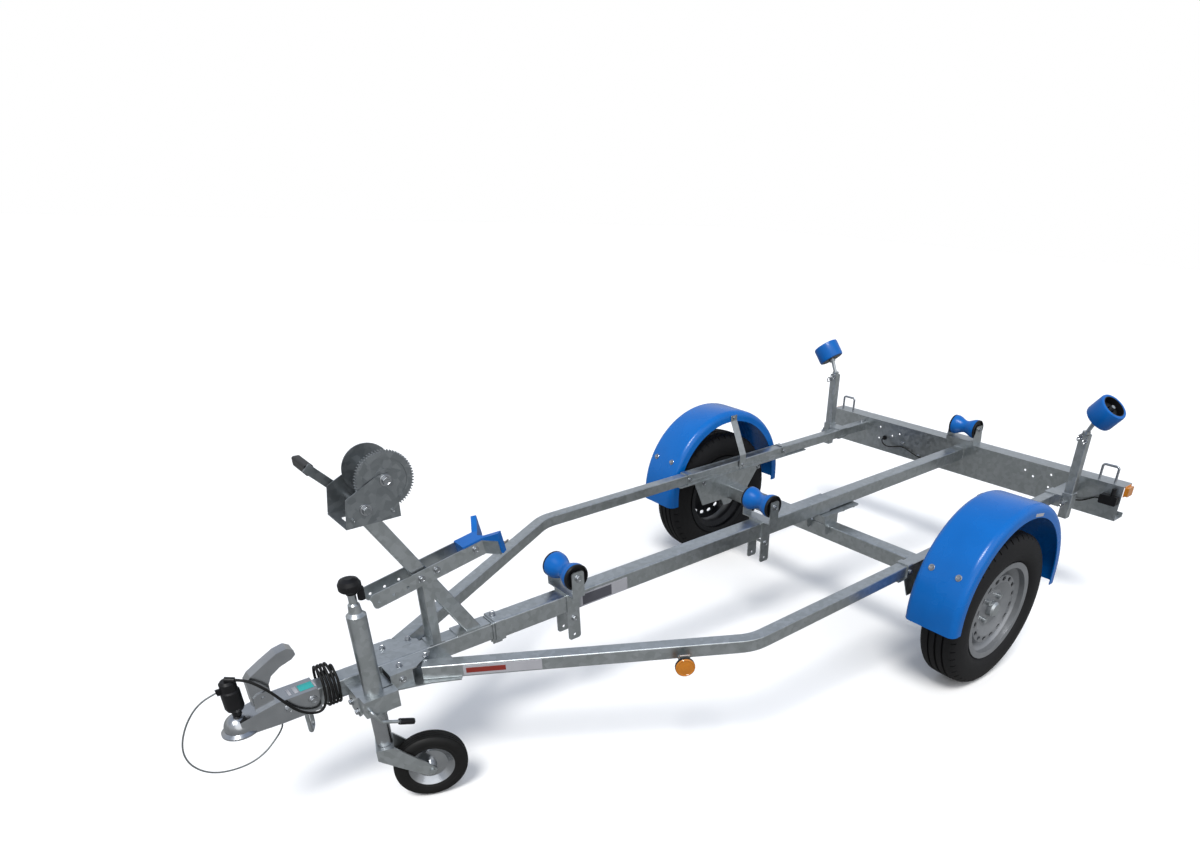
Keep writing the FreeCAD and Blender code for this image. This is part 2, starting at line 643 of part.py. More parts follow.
def guard_section(centre):
    """Thin hooked section of the guard, lying level in front of the wheel."""
    def at(y, r):
        return centre + X * r + Y * y

    def corner(radius):
        mid = V(GUARD_R - GUARD_ROUND, GUARD_OUT - GUARD_ROUND, 0)
        slant = radius * math.sqrt(0.5)
        return [at(mid.y, mid.x + radius), at(mid.y + slant, mid.x + slant), at(mid.y + radius, mid.x)]

    outer, inner = corner(GUARD_ROUND), corner(GUARD_ROUND - GUARD_T)
    lip = GUARD_R - GUARD_LIP
    edges = [Part.makeLine(at(GUARD_IN, GUARD_R), outer[0]), Part.Arc(*outer).toShape(),
             Part.makeLine(outer[2], at(GUARD_OUT, lip)),
             Part.makeLine(at(GUARD_OUT, lip), at(GUARD_OUT - GUARD_T, lip)),
             Part.makeLine(at(GUARD_OUT - GUARD_T, lip), inner[2]), Part.Arc(*reversed(inner)).toShape(),
             Part.makeLine(inner[0], at(GUARD_IN, GUARD_R - GUARD_T)),
             Part.makeLine(at(GUARD_IN, GUARD_R - GUARD_T), at(GUARD_IN, GUARD_R))]
    return Part.Face(Part.Wire(edges))


def mudguard_stay():
    """Bent strap from the rail's saddle up to the inside of the mudguard."""
    y, low = RAIL_Y - rail_half - PLATE_T, rail_low + 5
    lean = GUARD_IN + 6
    top = GUARD_CENTRE_Z + GUARD_R - GUARD_T - SEAT - 1
    outline = [(y, low), (y, RAIL_TOP + 115), (lean + PLATE_T, RAIL_TOP + 155), (lean + PLATE_T, top), (lean, top),
               (lean, RAIL_TOP + 157), (y - PLATE_T, RAIL_TOP + 117), (y - PLATE_T, low)]
    strap = cross_plate(outline, -25, 5)
    foot = V(-10, y, low + 15)
    return fuse([strap, rod(foot - Y * 2 * PLATE_T, foot, 8.0)])


# ---------------------------------------------------------------- keel rollers
def make_keel_rollers():
    nodes["keel_brackets"] = group([keel_bracket(x, z) for _, x, z in KEEL_ROLLERS])
    nodes["keel_bracket_rear"] = rear_bracket(REAR_ROLLER_X, REAR_ROLLER_Z)
    for name, x, z in KEEL_ROLLERS + [("rear", REAR_ROLLER_X, REAR_ROLLER_Z)]:
        nodes["keel_roller_" + name] = keel_roller(x, z)


def keel_roller(x, z):
    """Roller with a hollow waist, so that the keel centres itself, and a through bore."""
    half, bore = ROLLER_LONG / 2, ROLLER_PIN_R + RUN
    waist_half = half - ROLLER_END
    depth = ROLLER_R - ROLLER_WAIST_R
    waist = []
    for i in range(-WAIST_STEPS, WAIST_STEPS + 1):
        share = i / WAIST_STEPS
        waist.append((share * waist_half, ROLLER_R - depth * (1 - share * share)))
    profile = [(-half, bore), (-half, ROLLER_R - 3), (3 - half, ROLLER_R)] + waist
    profile += [(half - 3, ROLLER_R), (half, ROLLER_R - 3), (half, bore)]
    return spin(profile, V(x, 0, z), Y, X)


def keel_bracket(x, z):
    """Pair of straps that climb the beam's sides, step out flat over it and rise to hold the roller's pin."""
    t = PLATE_T
    beam_half, cheek = BEAM_SIDE / 2, ROLLER_LONG / 2 + SIDE_PLAY
    low, fold, head = BEAM_TOP - LEG_DROP, BEAM_TOP + 2 * t, z + LEG_HALF
    outline = [(beam_half, low), (beam_half, fold), (cheek, fold), (cheek, head), (cheek + t, head),
               (cheek + t, fold - t), (beam_half + t, fold - t), (beam_half + t, low)]
    strap = cross_plate(outline, x - LEG_HALF, x + LEG_HALF)
    tips = [e for e in strap.Edges if abs(e.Length - t) < 0.01 and e.BoundBox.YLength > t / 2]
    strap = strap.makeFillet(10.0, tips)
    hole = V(x, 0, low + 16)
    strap = strap.cut(rod(hole, hole + Y * (2 * cheek), WEB_HOLE_R))
    base = box(x - LEG_HALF, x + LEG_HALF, -beam_half - t / 2, beam_half + t / 2, BEAM_TOP, fold)
    tie = V(x, beam_half + 2 * t, BEAM_TOP - BEAM_SIDE - 6 * t)
    pin = V(x, cheek + 2 * t, z)
    return fuse([strap, mirrored(strap), base, rod(tie, V(x, -tie.y, tie.z), WEB_HOLE_R),
                 rod(pin, V(x, -pin.y, z), ROLLER_PIN_R)])


def rear_bracket(x, z):
    """Folded pan on top of the rear cross beam, its tapered cheeks holding the roller's pin."""
    t, half = PLATE_T, CHEEK_HALF
    cheek, base = ROLLER_LONG / 2 + SIDE_PLAY, CROSS_TOP + REAR_BASE_UP
    outline = [(x - half, CROSS_TOP), (x + half, CROSS_TOP), (x + half, base), (x + LEG_HALF, z + LEG_HALF - 4),
               (x - LEG_HALF, z + LEG_HALF - 4), (x - half, base)]
    pin = V(x, cheek + 2 * t, z)
    parts = [box(x - half, x + half, -cheek - t / 2, cheek + t / 2, base - t, base),
             box(x + half - t, x + half, -cheek - t / 2, cheek + t / 2, CROSS_TOP, base),
             box(x - half, x - half + t, -cheek - t / 2, cheek + t / 2, CROSS_TOP, base),
             rod(pin, V(x, -pin.y, z), ROLLER_PIN_R)]
    parts += [side_plate(outline, y0, y1, 6.0) for y0, y1 in sides(cheek, cheek + t)]
    return fuse(parts)


# ---------------------------------------------------------------- side supports and rear fittings
def make_side_supports():
    post = bar(V(POST_X, POST_Y, SIDE_POST_FOOT), V(POST_X, POST_Y, SIDE_POST_TOP), SIDE_POST, SIDE_POST, 4.0,
               SIDE_POST_WALL, X)
    nodes["side_posts"] = both(post)
    nodes["post_sockets"] = both(post_socket())
    nodes["roller_stems"] = both(roller_stem())
    roller = side_roller()
    nodes["side_roller_left"] = roller
    nodes["side_roller_right"] = mirrored(roller)
    nodes["lift_handles"] = both(lift_handle())
    nodes["end_markers"] = both(end_marker())
    nodes["side_markers"] = both(side_marker())


def post_socket():
    """Clamp round the side rail with a square sleeve outside it for the post."""
    t, half = PLATE_T, SIDE_POST / 2
    out = half + t
    rail_in, rail_out = RAIL_Y - rail_half, RAIL_Y + rail_half
    x0, x1 = POST_X - 30, POST_X + 30
    sleeve = round_edges(box(POST_X - out, POST_X + out, POST_Y - out, POST_Y + out, rail_low - t, RAIL_TOP + 14), t, Z)
    sleeve = sleeve.cut(bar(V(POST_X, POST_Y, rail_low - out), V(POST_X, POST_Y, RAIL_TOP + out), SIDE_POST,
                            SIDE_POST, 4.0, 0.0, X))
    clamp = box(x0, x1, rail_in - t, POST_Y - half, rail_low - t, RAIL_TOP + t)
    clamp = round_edges(clamp, 3.0, X).cut(box(x0 - 1, x1 + 1, rail_in, rail_out, rail_low, RAIL_TOP))
    clamp = clamp.cut(box(x0 - 1, x1 + 1, rail_in - 2 * t, rail_in, rail_low + 8, RAIL_TOP - 8))
    screw = V(POST_X + out, POST_Y, RAIL_TOP - rail_half)
    handle = screw + X * 26
    parts = [sleeve, clamp, rod(screw - X, handle, 5.0), rod(handle - Z * 18, handle + Z * 18, 3.5)]
    return fuse(parts)


def roller_axis():
    """Direction in which the left side roller's pin leaves its stem."""
    return V(0.06, 0.61, 0.79).normalize()


def roller_stem():
    """Stem in the post's top with the tilted pin that the side roller turns on."""
    foot = V(POST_X, POST_Y, SIDE_POST_TOP)
    centre = V(WOBBLE_X, WOBBLE_Y, WOBBLE_Z)
    axis = roller_axis()
    root = centre - axis * (WOBBLE_W / 2 + WOBBLE_WASHER)
    plug = rod(foot - Z * 30, foot + Z * 12, SIDE_POST / 2 - SIDE_POST_WALL - SEAT)
    neck = rod(foot + Z * 4, root, 8.0)
    pin = rod(root, centre + axis * (WOBBLE_W / 2 - 4), WOBBLE_PIN_R)
    washer = rod(root, root + axis * (WOBBLE_WASHER - SIDE_PLAY), 14.0)
    return fuse([plug, neck, pin, washer])


def side_roller():
    """Barrel roller with a recessed open end."""
    axis = roller_axis()
    half, r, bore = WOBBLE_W / 2, WOBBLE_R, WOBBLE_PIN_R + RUN
    floor, inside = half - WOBBLE_RECESS, r - WOBBLE_RIM
    profile = [(-half, bore), (-half, r - 6), (8 - half, r), (half - 8, r), (half, r - 6), (half, inside),
               (floor, inside), (floor, bore)]
    return spin(profile, V(WOBBLE_X, WOBBLE_Y, WOBBLE_Z), axis, axis.cross(Z).normalize())


def lift_handle():
    """Upright loop of bar on the outer end of the rear beam."""
    x, top = CROSS_FACE_X - 3 * HANDLE_R, CROSS_TOP + HANDLE_RISE
    y0, y1 = HANDLE_Y - HANDLE_WIDE / 2, HANDLE_Y + HANDLE_WIDE / 2
    return bent_rod([V(x, y0, CROSS_TOP), V(x, y0, top), V(x, y1, top), V(x, y1, CROSS_TOP)], 2 * HANDLE_R, HANDLE_R)


def end_marker():
    """Marker lamp on the end of the rear beam."""
    x = CROSS_FACE_X - CROSS_DEPTH / 2
    base = box(x - 26, x + 26, CROSS_HALF, CROSS_HALF + 3, CROSS_TOP - 46, CROSS_TOP)
    lens = round_edges(box(x - 23, x + 23, CROSS_HALF + 3, CROSS_HALF + 16, CROSS_TOP - 43, CROSS_TOP - 5), 4.0, Y)
    return fuse([base, lens])


def side_marker():
    """Round reflector on a bent bracket outside the rail's front run."""
    along = V(RAIL_NOSE_X - RAIL_BEND_X, RAIL_NOSE_Y - RAIL_Y, 0).normalize()
    out = V(-along.y, along.x, 0)
    y = RAIL_Y + (MARKER_X - RAIL_BEND_X) * along.y / along.x
    root = V(MARKER_X, y, rail_mid) + out * rail_half
    low = root - Z * (rail_half - 1)
    shelf = bar(low, low + out * MARKER_R, 30.0, PLATE_T, 1.0)
    plate = bar(root + out * 24 + Z * 6, root + out * 24 - Z * 56, 30.0, PLATE_T, 1.0, 0.0, out)
    lens = rod(root + out * 26 - Z * 28, root + out * 38 - Z * 28, MARKER_R)
    return fuse([shelf, plate, lens])


# ---------------------------------------------------------------- winch post and bow stop
def make_bow_stop():
    nodes["winch_post"] = winch_post()
    nodes["post_brace"] = post_brace()
    nodes["bow_channel"] = in_channel(bow_channel())
    nodes["bow_block"] = in_channel(bow_block())


channel_fall = math.atan2(CHANNEL_BEND_Z - CHANNEL_FRONT_Z, CHANNEL_FRONT_X - CHANNEL_BEND_X)
channel_long = math.hypot(CHANNEL_BEND_Z - CHANNEL_FRONT_Z, CHANNEL_FRONT_X - CHANNEL_BEND_X)


def in_channel(shape):
    """Carries a piece drawn along a level channel, with x = 0 at its bend, to the sloping channel."""
    shape.Placement = FreeCAD.Placement(V(CHANNEL_BEND_X, 0, CHANNEL_BEND_Z),
                                        FreeCAD.Rotation(Y, math.degrees(channel_fall)))
    return shape


def channel_z(x):
    """Height of the channel's middle line."""
    return CHANNEL_BEND_Z - (x - CHANNEL_BEND_X) * math.tan(channel_fall)


def winch_post():
    """Leaning square post from the drawbar up to the winch, on a foot plate."""
    foot = V(post_foot_x + POST_BAR / 2, 0, drawbar_top)
    head = V(foot.x + POST_LEAN, 0, winch_base)
    along = (head - foot).normalize()
    post = bar(foot - along * POST_BAR, head + along * POST_BAR, POST_BAR, POST_BAR, 3.0, POST_WALL)
    post = post.common(box(BEAM_FRONT, WINCH_X + WINCH_FRONT, -POST_BAR, POST_BAR, drawbar_top, winch_base))
    plate = box(BEAM_FRONT + PLATE_T, foot.x + 1.4 * POST_BAR, -inner_half, inner_half, drawbar_top,
                drawbar_top + PLATE_T)
    return fuse([post, plate])


def post_brace():
    """Two upright straps from a foot on the drawbar to the bow channel, one each side of the winch post."""
    y0 = POST_BAR / 2 + SEAT
    x0, x1 = BRACE_X - BRACE_WIDE / 2, BRACE_X + BRACE_WIDE / 2
    top = channel_z(BRACE_X) + CHANNEL_H / 4
    straps = [box(x0, x1, a, b, drawbar_top, top) for a, b in sides(y0, y0 + BRACE_T)]
    return fuse(straps + [box(x0 - 10, x1 + 10, -y0 - BRACE_T, y0 + BRACE_T, drawbar_top, drawbar_top + PLATE_T)])


def wing_line():
    """Direction of the left wing in plan, from the channel's bend outwards, and the normal behind it."""
    a = math.radians(180 - WING_SPLAY)
    return V(math.cos(a), math.sin(a), 0), V(-math.sin(a), math.cos(a), 0)


def bow_channel():
    """Channel open at the top, its walls splayed at the rear to back the bow block."""
    half, t, high = channel_half, CHANNEL_T, CHANNEL_H / 2
    along, behind = wing_line()
    corner = V(0, half, 0)
    plan = [V(channel_long, half, 0), V(channel_long, half + t, 0), V(0, half + t, 0),
            corner + along * WING_LONG - behind * t, corner + along * WING_LONG, corner]
    wall = extrude([p - Z * high for p in plan], Z * (2 * high))
    nose = [e for e in wall.Edges if abs(e.CenterOfMass.x - channel_long) < 0.01 and e.Length < t + 0.01]
    wall = wall.makeFillet(high / 2, nose)
    holes = [V(channel_long - s, half - 1, -high / 5) for s in CHANNEL_HOLES]
    wall = cut_all(wall, [rod(p, p + Y * (t + 2), 4.0) for p in holes])
    webs = [box(x0, x1, -half - t / 2, half + t / 2, -high, t - high)
            for x0, x1 in ((PAD_LONG / 4, 1.8 * PAD_LONG), (channel_long - 2 * PAD_LONG, channel_long - 8))]
    return fuse([wall, mirrored(wall)] + webs)


def bow_block():
    """Rubber block with two wings that catch the boat's stem in a V open to the rear."""
    along, behind = wing_line()
    half = channel_half - SEAT
    floor, top, low = CHANNEL_H / 2 + 5, 45.0, CHANNEL_T + SEAT - CHANNEL_H / 2
    root = V(0, half, 0)
    tip = root + along * (WING_LONG + 6)
    rear = [root + behind * PAD_T, tip + behind * PAD_T]
    notch = rear[0] - along * (rear[0].y / along.y)
    plan = [V(PAD_LONG, half, 0), root, tip, rear[1], notch]
    plan += [V(p.x, -p.y, 0) for p in reversed(plan[:-1])]
    body = extrude([p + Z * low for p in plan], Z * (floor - low))
    wing = extrude([root + Z * (floor - 0.01), tip + Z * (floor - 0.01), tip + Z * top], behind * PAD_T)
    return fuse([body, wing, mirrored(wing)])


# ---------------------------------------------------------------- winch
def make_winch():
    nodes["winch_frame"] = winch_frame()
    nodes["winch_drum"] = winch_drum()
    nodes["winch_crank"] = winch_crank()
    nodes["crank_grip"] = crank_grip()


def winch_frame():
    """Folded steel frame with two cheeks and the fixed drum axle."""
    t = FRAME_T
    x0, x1, z0 = WINCH_X - WINCH_REAR, WINCH_X + WINCH_FRONT, winch_base
    base = box(x0, x1, WINCH_Y - frame_in - t, WINCH_Y + frame_in + t, z0, z0 + t)
    base = base.cut(box(x1 - 34, x1 - 16, WINCH_Y - 20, WINCH_Y + 20, z0 - 1, z0 + t + 1))
    outline = [(x1, z0), (x0, z0), (x0 - 2, WINCH_Z - 20), (WINCH_X - 12, WINCH_Z + 16),
               (WINCH_X + 14, WINCH_Z + 16), (x1 - 12, WINCH_Z - 25)]
    parts = [base]
    shaft = V(pinion_x, 0, pinion_z)
    for y0, y1 in ((WINCH_Y - frame_in - t, WINCH_Y - frame_in), (WINCH_Y + frame_in, WINCH_Y + frame_in + t)):
        cheek = side_plate(outline, y0, y1, 6.0)
        parts.append(cheek.cut(rod(shaft + Y * (y0 - 1), shaft + Y * (y1 + 1), PINION_SHAFT_R + RUN)))
    middle = V(WINCH_X, WINCH_Y, WINCH_Z)
    out = frame_in + t + 8
    return fuse(parts + [rod(middle - Y * out, middle + Y * out, DRUM_AXLE_R)])


def gear_solid(teeth, bore, y0, width, phase):
    """Spur gear about the y axis with straight-sided teeth; phase turns the first tooth."""
    r = MODULE * teeth / 2
    root, tip = r - 1.15 * MODULE, r + 0.85 * MODULE
    pitch = 360.0 / teeth
    points = []
    for i in range(teeth):
        for off, rad in ((-0.26, root), (-0.12, tip), (0.12, tip), (0.26, root)):
            a = math.radians(phase + (i + off) * pitch)
            points.append(V(rad * math.cos(a), y0, rad * math.sin(a)))
    return extrude(points, V(0, width, 0)).cut(rod(V(0, y0 - 1, 0), V(0, y0 + width + 1, 0), bore))


def winch_drum():
    """Strap drum with its far flange and the toothed wheel on its near side."""
    near = frame_in - SIDE_PLAY
    bore = DRUM_AXLE_R + RUN
    gear = gear_solid(GEAR_TEETH, bore, near - GEAR_W, GEAR_W, PINION_ANGLE)
    dish = gear_r - 16
    gear = gear.cut(ring(V(0, near - 2, 0), V(0, near + 1, 0), dish, DRUM_R + 6))
    core = spin([(-near, bore), (-near, DRUM_R + 10), (6 - near, DRUM_R + 10), (6 - near, FLANGE_R),
                 (9 - near, FLANGE_R), (9 - near, DRUM_R), (near - GEAR_W, DRUM_R), (near - GEAR_W, bore)],
                V(0, 0, 0), Y, Z)
    return fuse([gear, core]).translated(V(WINCH_X, WINCH_Y, WINCH_Z))


def crank_line():
    """Direction of the crank arm, and its outer face beyond the far cheek."""
    a = math.radians(CRANK_ANGLE)
    return V(math.cos(a), 0, math.sin(a)), -frame_in - FRAME_T - CRANK_T / 2 - 9


def winch_crank():
    """Pinion, its shaft, the crank arm on the far side and the pin for its grip."""
    along, y = crank_line()
    face = frame_in - SIDE_PLAY - GEAR_W - 2
    gear = gear_solid(PINION_TEETH, 1.0, face, GEAR_W + 2, PINION_ANGLE + 180 + 180.0 / PINION_TEETH)
    shaft = rod(V(0, y - CRANK_T, 0), V(0, frame_in + FRAME_T + 14, 0), PINION_SHAFT_R)
    middle = V(0, y, 0)
    arm = bar(middle - along * 14, middle + along * (CRANK_REACH + 12), CRANK_T, CRANK_W, 2.0, 0.0,
              V(-along.z, 0, along.x))
    end = middle + along * CRANK_REACH
    return fuse([gear, shaft, arm, rod(end, end - Y * 30, PINION_SHAFT_R)]).translated(V(pinion_x, WINCH_Y, pinion_z))


def crank_grip():
    """Moulded grip on the crank's pin."""
    along, y = crank_line()
    root = along * CRANK_REACH + Y * (y - CRANK_T / 2 - SEAT)
    grip = bar(root, root - Y * GRIP_LONG, 22.0, 26.0, 6.0)
    return grip.cut(rod(root + Y, root - Y * 30, PINION_SHAFT_R + RUN)).translated(V(pinion_x, WINCH_Y, pinion_z))


# ---------------------------------------------------------------- coupling
def make_coupling():
    nodes["coupling_head"] = coupling_head()
    nodes["coupling_lever"] = coupling_lever()
    nodes["safety_hoop"] = safety_hoop()


def throat(inset, floor):
    """Tapered neck between the sleeve and the socket; inset shrinks it, floor is its lowest height."""
    wires = []
    for x, half, top in ((sleeve_front - 1, inner_half + HEAD_T, sleeve_top), (BALL_X, dome_r - 2, BALL_Z + 26)):
        low = floor if inset else min(floor, drawbar_low - HEAD_T) if x < BALL_X else floor
        y, z = half - inset, top - inset
        wires.append(Part.makePolygon([V(x, -y, low), V(x, y, low), V(x, y, z), V(x, -y, z), V(x, -y, low)]))
    return Part.makeLoft(wires, True, True)


def coupling_head():
    """Pressed ball coupling: socket with a flared mouth in front, square sleeve behind, cheeks for the lever."""
    t, half = HEAD_T, inner_half + HEAD_T
    ball = V(BALL_X, 0, BALL_Z)
    mouth = BALL_Z - SOCKET_DEPTH
    bore_r = BALL_R + BALL_PLAY
    dome = Part.makeSphere(dome_r, ball)
    dome = dome.common(box(BALL_X - dome_r, BALL_X + dome_r, -dome_r, dome_r, BALL_Z, BALL_Z + dome_r))
    spoon = spin([(mouth, 0), (mouth, SPOON_R), (mouth + 4, SPOON_R), (mouth + 10, dome_r), (BALL_Z, dome_r),
                  (BALL_Z, 0)], V(BALL_X, 0, 0), Z, X)
    sleeve = box(sleeve_rear, sleeve_front, -half, half, drawbar_low - t, sleeve_top)
    sleeve = sleeve.cut(box(sleeve_rear, sleeve_front - t, -half + t - SEAT, half - t + SEAT, drawbar_low - SEAT,
                            drawbar_top + SEAT))
    neck = throat(0.0, mouth).cut(throat(t, mouth - t))
    pin = lever_pin()
    outline = [(pin.x - 22, sleeve_top - 5), (pin.x + 26, sleeve_top - 11), (pin.x + 22, pin.z + 8),
               (pin.x + 10, pin.z + 16), (pin.x - 10, pin.z + 16), (pin.x - 22, pin.z + 4)]
    cheeks = [side_plate(outline, a, b) for a, b in sides(LEVER_W / 2 + SEAT, LEVER_W / 2 + SEAT + PLATE_T)]
    reach = LEVER_W / 2 + PLATE_T + 3
    head = fuse([dome, spoon, sleeve, neck, rod(pin - Y * reach, pin + Y * reach, 5.0)] + cheeks)
    head = head.cut(Part.makeSphere(bore_r, ball))
    return head.cut(rod(ball - Z * (SOCKET_DEPTH + 1), ball, bore_r))


def lever_pin():
    """Middle of the pin that carries the coupling's lever."""
    return V(BALL_X - LEVER_PIN_X, 0, sleeve_top + LEVER_PIN_UP)


def coupling_lever():
    """Folded hand lever on top of the coupling: a deep channel that is open below and behind."""
    p = lever_pin()
    wall = 3.0
    back = [(14, 66), (-20, 86), (-54, 104), (-80, 109), (-94, 99)]
    belly = [(-96, 86), (-84, 76), (-54, 66), (-30, 50), (-20, 30), (-18, -14)]
    outer = [(26, -14), (26, 52)] + back + belly
    inner = [(26 - wall, -30), (26 - wall, 51)] + [(x, z - wall) for x, z in back] + [(-94, 60), (-34, 24), (-34, -30)]
    lever = side_plate([(p.x + x, p.z + z) for x, z in outer], -LEVER_W / 2, LEVER_W / 2, 4.0)
    hollow = [(p.x + x, p.z + z) for x, z in inner]
    lever = lever.cut(side_plate(hollow, -LEVER_W / 2 + wall, LEVER_W / 2 - wall))
    return lever.cut(rod(p - Y * LEVER_W, p + Y * LEVER_W, 5.0 + RUN))


def safety_hoop():
    """Bent bar under the coupling's sleeve."""
    x, low = sleeve_rear + HEAD_T + 2 * HOOP_HALF, drawbar_low - HEAD_T
    near, far = V(x, HOOP_HALF, low), V(x - HOOP_HALF, -HOOP_HALF, low)
    drop = V(0, 0, -HOOP_DROP)
    return bent_rod([near, near + drop, far + drop, far], 2.6 * HOOP_R, HOOP_R)


# ---------------------------------------------------------------- jockey wheel
def make_jockey():
    nodes["jockey_clamp"] = jockey_clamp()
    nodes["clamp_handle"] = clamp_handle()
    nodes["jockey_tube"] = jockey_tube()
    nodes["jockey_cap"] = jockey_cap()
    nodes["jockey_leg"] = jockey_leg()
    nodes["jockey_fork"] = trail_frame(jockey_fork())
    nodes["jockey_tyre"] = trail_frame(jockey_tyre())
    nodes["jockey_rim"] = trail_frame(jockey_rim())


def jockey_clamp():
    """Split block that grips the jockey tube beside the drawbar, with its bolting plate."""
    out = JOCKEY_Y + BLOCK_OUT
    block = round_edges(box(BLOCK_X0, BLOCK_X1, inner_half, out, BLOCK_Z0, BLOCK_Z1), 4.0, Z)
    plate = cross_plate([(inner_half, BLOCK_Z1), (JOCKEY_Y, BLOCK_Z1), (JOCKEY_Y, BLOCK_Z0 - 6),
                         (JOCKEY_Y - 14, BLOCK_Z0 - 18), (inner_half + 14, BLOCK_Z0 - 18),
                         (inner_half, BLOCK_Z0 - 6)], BLOCK_X1 - 1, BLOCK_X1 + PLATE_T)
    block = fuse([block, plate])
    block = block.cut(rod(V(JOCKEY_X, JOCKEY_Y, BLOCK_Z0 - 1), V(JOCKEY_X, JOCKEY_Y, BLOCK_Z1 + 1),
                          JOCKEY_TUBE_R + RUN))
    return block.cut(box(BLOCK_X0 - 1, JOCKEY_X, JOCKEY_Y - 2, JOCKEY_Y + 2, BLOCK_Z0 - 1, BLOCK_Z1 + 1))


def clamp_handle():
    """Bent screw handle that draws the clamp block together, with its grip."""
    start = V(BLOCK_X1 - 10, JOCKEY_Y + BLOCK_OUT, (BLOCK_Z0 + BLOCK_Z1) / 2)
    points = [start, start + V(0, 16, 0), start + V(-16, 20, -34), start + V(-64, 20, -56)]
    end = points[-1]
    along = (end - points[-2]).normalize()
    return fuse([bent_rod(points, 8.0, 4.5), rod(end - along * 4, end + along * 38, 8.0)])


def jockey_tube():
    """Outer tube with its stepped neck."""
    r, top = JOCKEY_TUBE_R, JOCKEY_TUBE_TOP
    inner = r - JOCKEY_TUBE_WALL
    return spin([(JOCKEY_TUBE_FOOT, inner), (JOCKEY_TUBE_FOOT, r), (top, r), (top + 8, r - 8),
                 (top + JOCKEY_NECK / 2, r - 10), (top + JOCKEY_NECK / 2 + 4, 10), (top + JOCKEY_NECK, 10),
                 (top + JOCKEY_NECK, 0), (top - 4, 0), (top - 4, inner)], V(JOCKEY_X, JOCKEY_Y, 0), Z, X)


def jockey_cap():
    """Mushroom-shaped winding cap on top of the neck, with its grip folded down beside the neck."""
    top = JOCKEY_TUBE_TOP + JOCKEY_NECK + SEAT
    cap = spin([(top, 0), (top, 13), (top + 6, 14), (top + 10, 24), (top + 14, 27), (top + 28, 27), (top + 37, 22),
                (top + 42, 11), (top + 42, 0)], V(JOCKEY_X, JOCKEY_Y, 0), Z, X)
    grip = V(JOCKEY_X - 20, JOCKEY_Y + 7, top - 18)
    return fuse([cap, rod(grip, grip + Z * 32, 9.0)])


def jockey_leg():
    """Inner tube that slides in the outer one, with the headed spindle that the fork swivels on."""
    at = V(JOCKEY_X, JOCKEY_Y, 0)
    foot = FORK_TOP + SIDE_PLAY
    head = FORK_TOP - FORK_T - SIDE_PLAY
    return fuse([ring(at + Z * foot, at + Z * JOCKEY_LEG_TOP, leg_r, leg_r - JOCKEY_LEG_WALL),
                 rod(at + Z * foot, at + Z * (foot + 16), leg_r - 1), rod(at + Z * head, at + Z * (foot + 1), SPINDLE_FOOT_R),
                 rod(at + Z * (head - 12), at + Z * head, SPINDLE_HEAD_R)])


def trail_frame(shape):
    """Turns a piece drawn with the wheel trailing forward to the way the wheel really trails."""
    shape.Placement = FreeCAD.Placement(V(JOCKEY_X, JOCKEY_Y, 0), FreeCAD.Rotation(Z, JOCKEY_TURN))
    return shape


def jockey_fork():
    """Folded fork: crown, front fold and two slim curved cheeks that carry the wheel's axle."""
    out, rear, hub = fork_half + FORK_T, -SPINDLE_FOOT_R - 16, 14.0
    low = FORK_TOP - 32
    crown = box(rear, 22, -out, out, FORK_TOP - FORK_T, FORK_TOP)
    front = box(rear, rear + FORK_T, -out, out, low, FORK_TOP)
    outline = [(rear, FORK_TOP), (22, FORK_TOP), (JOCKEY_TRAIL + 4, JOCKEY_HUB_Z + hub),
               (JOCKEY_TRAIL + hub, JOCKEY_HUB_Z), (JOCKEY_TRAIL + 4, JOCKEY_HUB_Z - hub),
               (JOCKEY_TRAIL - 14, JOCKEY_HUB_Z - hub), (70, JOCKEY_HUB_Z + 2), (20, 240), (rear, low)]
    cheeks = [side_plate(outline, a, b, 3.0) for a, b in sides(fork_half, out)]
    axle = V(JOCKEY_TRAIL, out + 6, JOCKEY_HUB_Z)
    fork = fuse([crown, front, rod(axle, V(axle.x, -axle.y, axle.z), JOCKEY_AXLE_R)] + cheeks)
    return fork.cut(rod(V(0, 0, low), V(0, 0, FORK_TOP + 1), SPINDLE_FOOT_R + RUN))


def jockey_tyre():
    """Solid rubber tyre of the jockey wheel."""
    h, r, ri = JOCKEY_WHEEL_W / 2, JOCKEY_WHEEL_R, JOCKEY_RIM_R
    return spin([(6 - h, ri), (-h, ri + 14), (1 - h, r - 10), (9 - h, r), (h - 9, r), (h - 1, r - 10), (h, ri + 14),
                 (h - 6, ri)], V(JOCKEY_TRAIL, 0, JOCKEY_HUB_Z), Y, X)


def jockey_rim():
    """Pressed two-part rim with its hub."""
    h, r, hub = JOCKEY_WHEEL_W / 2, JOCKEY_RIM_R, fork_half - SIDE_PLAY
    bore = JOCKEY_AXLE_R + RUN
    half = [(hub, bore), (hub, 13), (8, 15), (6, 44), (h - 8, r - 4), (h - 5, r - 0.2)]
    return spin([(-s, q) for s, q in half] + [(s, q) for s, q in reversed(half)], V(JOCKEY_TRAIL, 0, JOCKEY_HUB_Z),
                Y, X)


# ---------------------------------------------------------------- leads, plug and safety wire
PLUG_X = BALL_X - 4
lead_gland_x, lead_gland_y = COIL_REAR + 10, -12.0

TRAILER_LEAD = [V(2226, 10.5, 585), V(2212, 18, 582), V(2197, 26, 574), V(2180, 35, 557), V(2163, 41, 535),
                V(2143, 43.5, 500), V(2121, 44, 464), V(2098, 44, 443), V(2074, 44, 434), V(COIL_FRONT, 44, 434)]

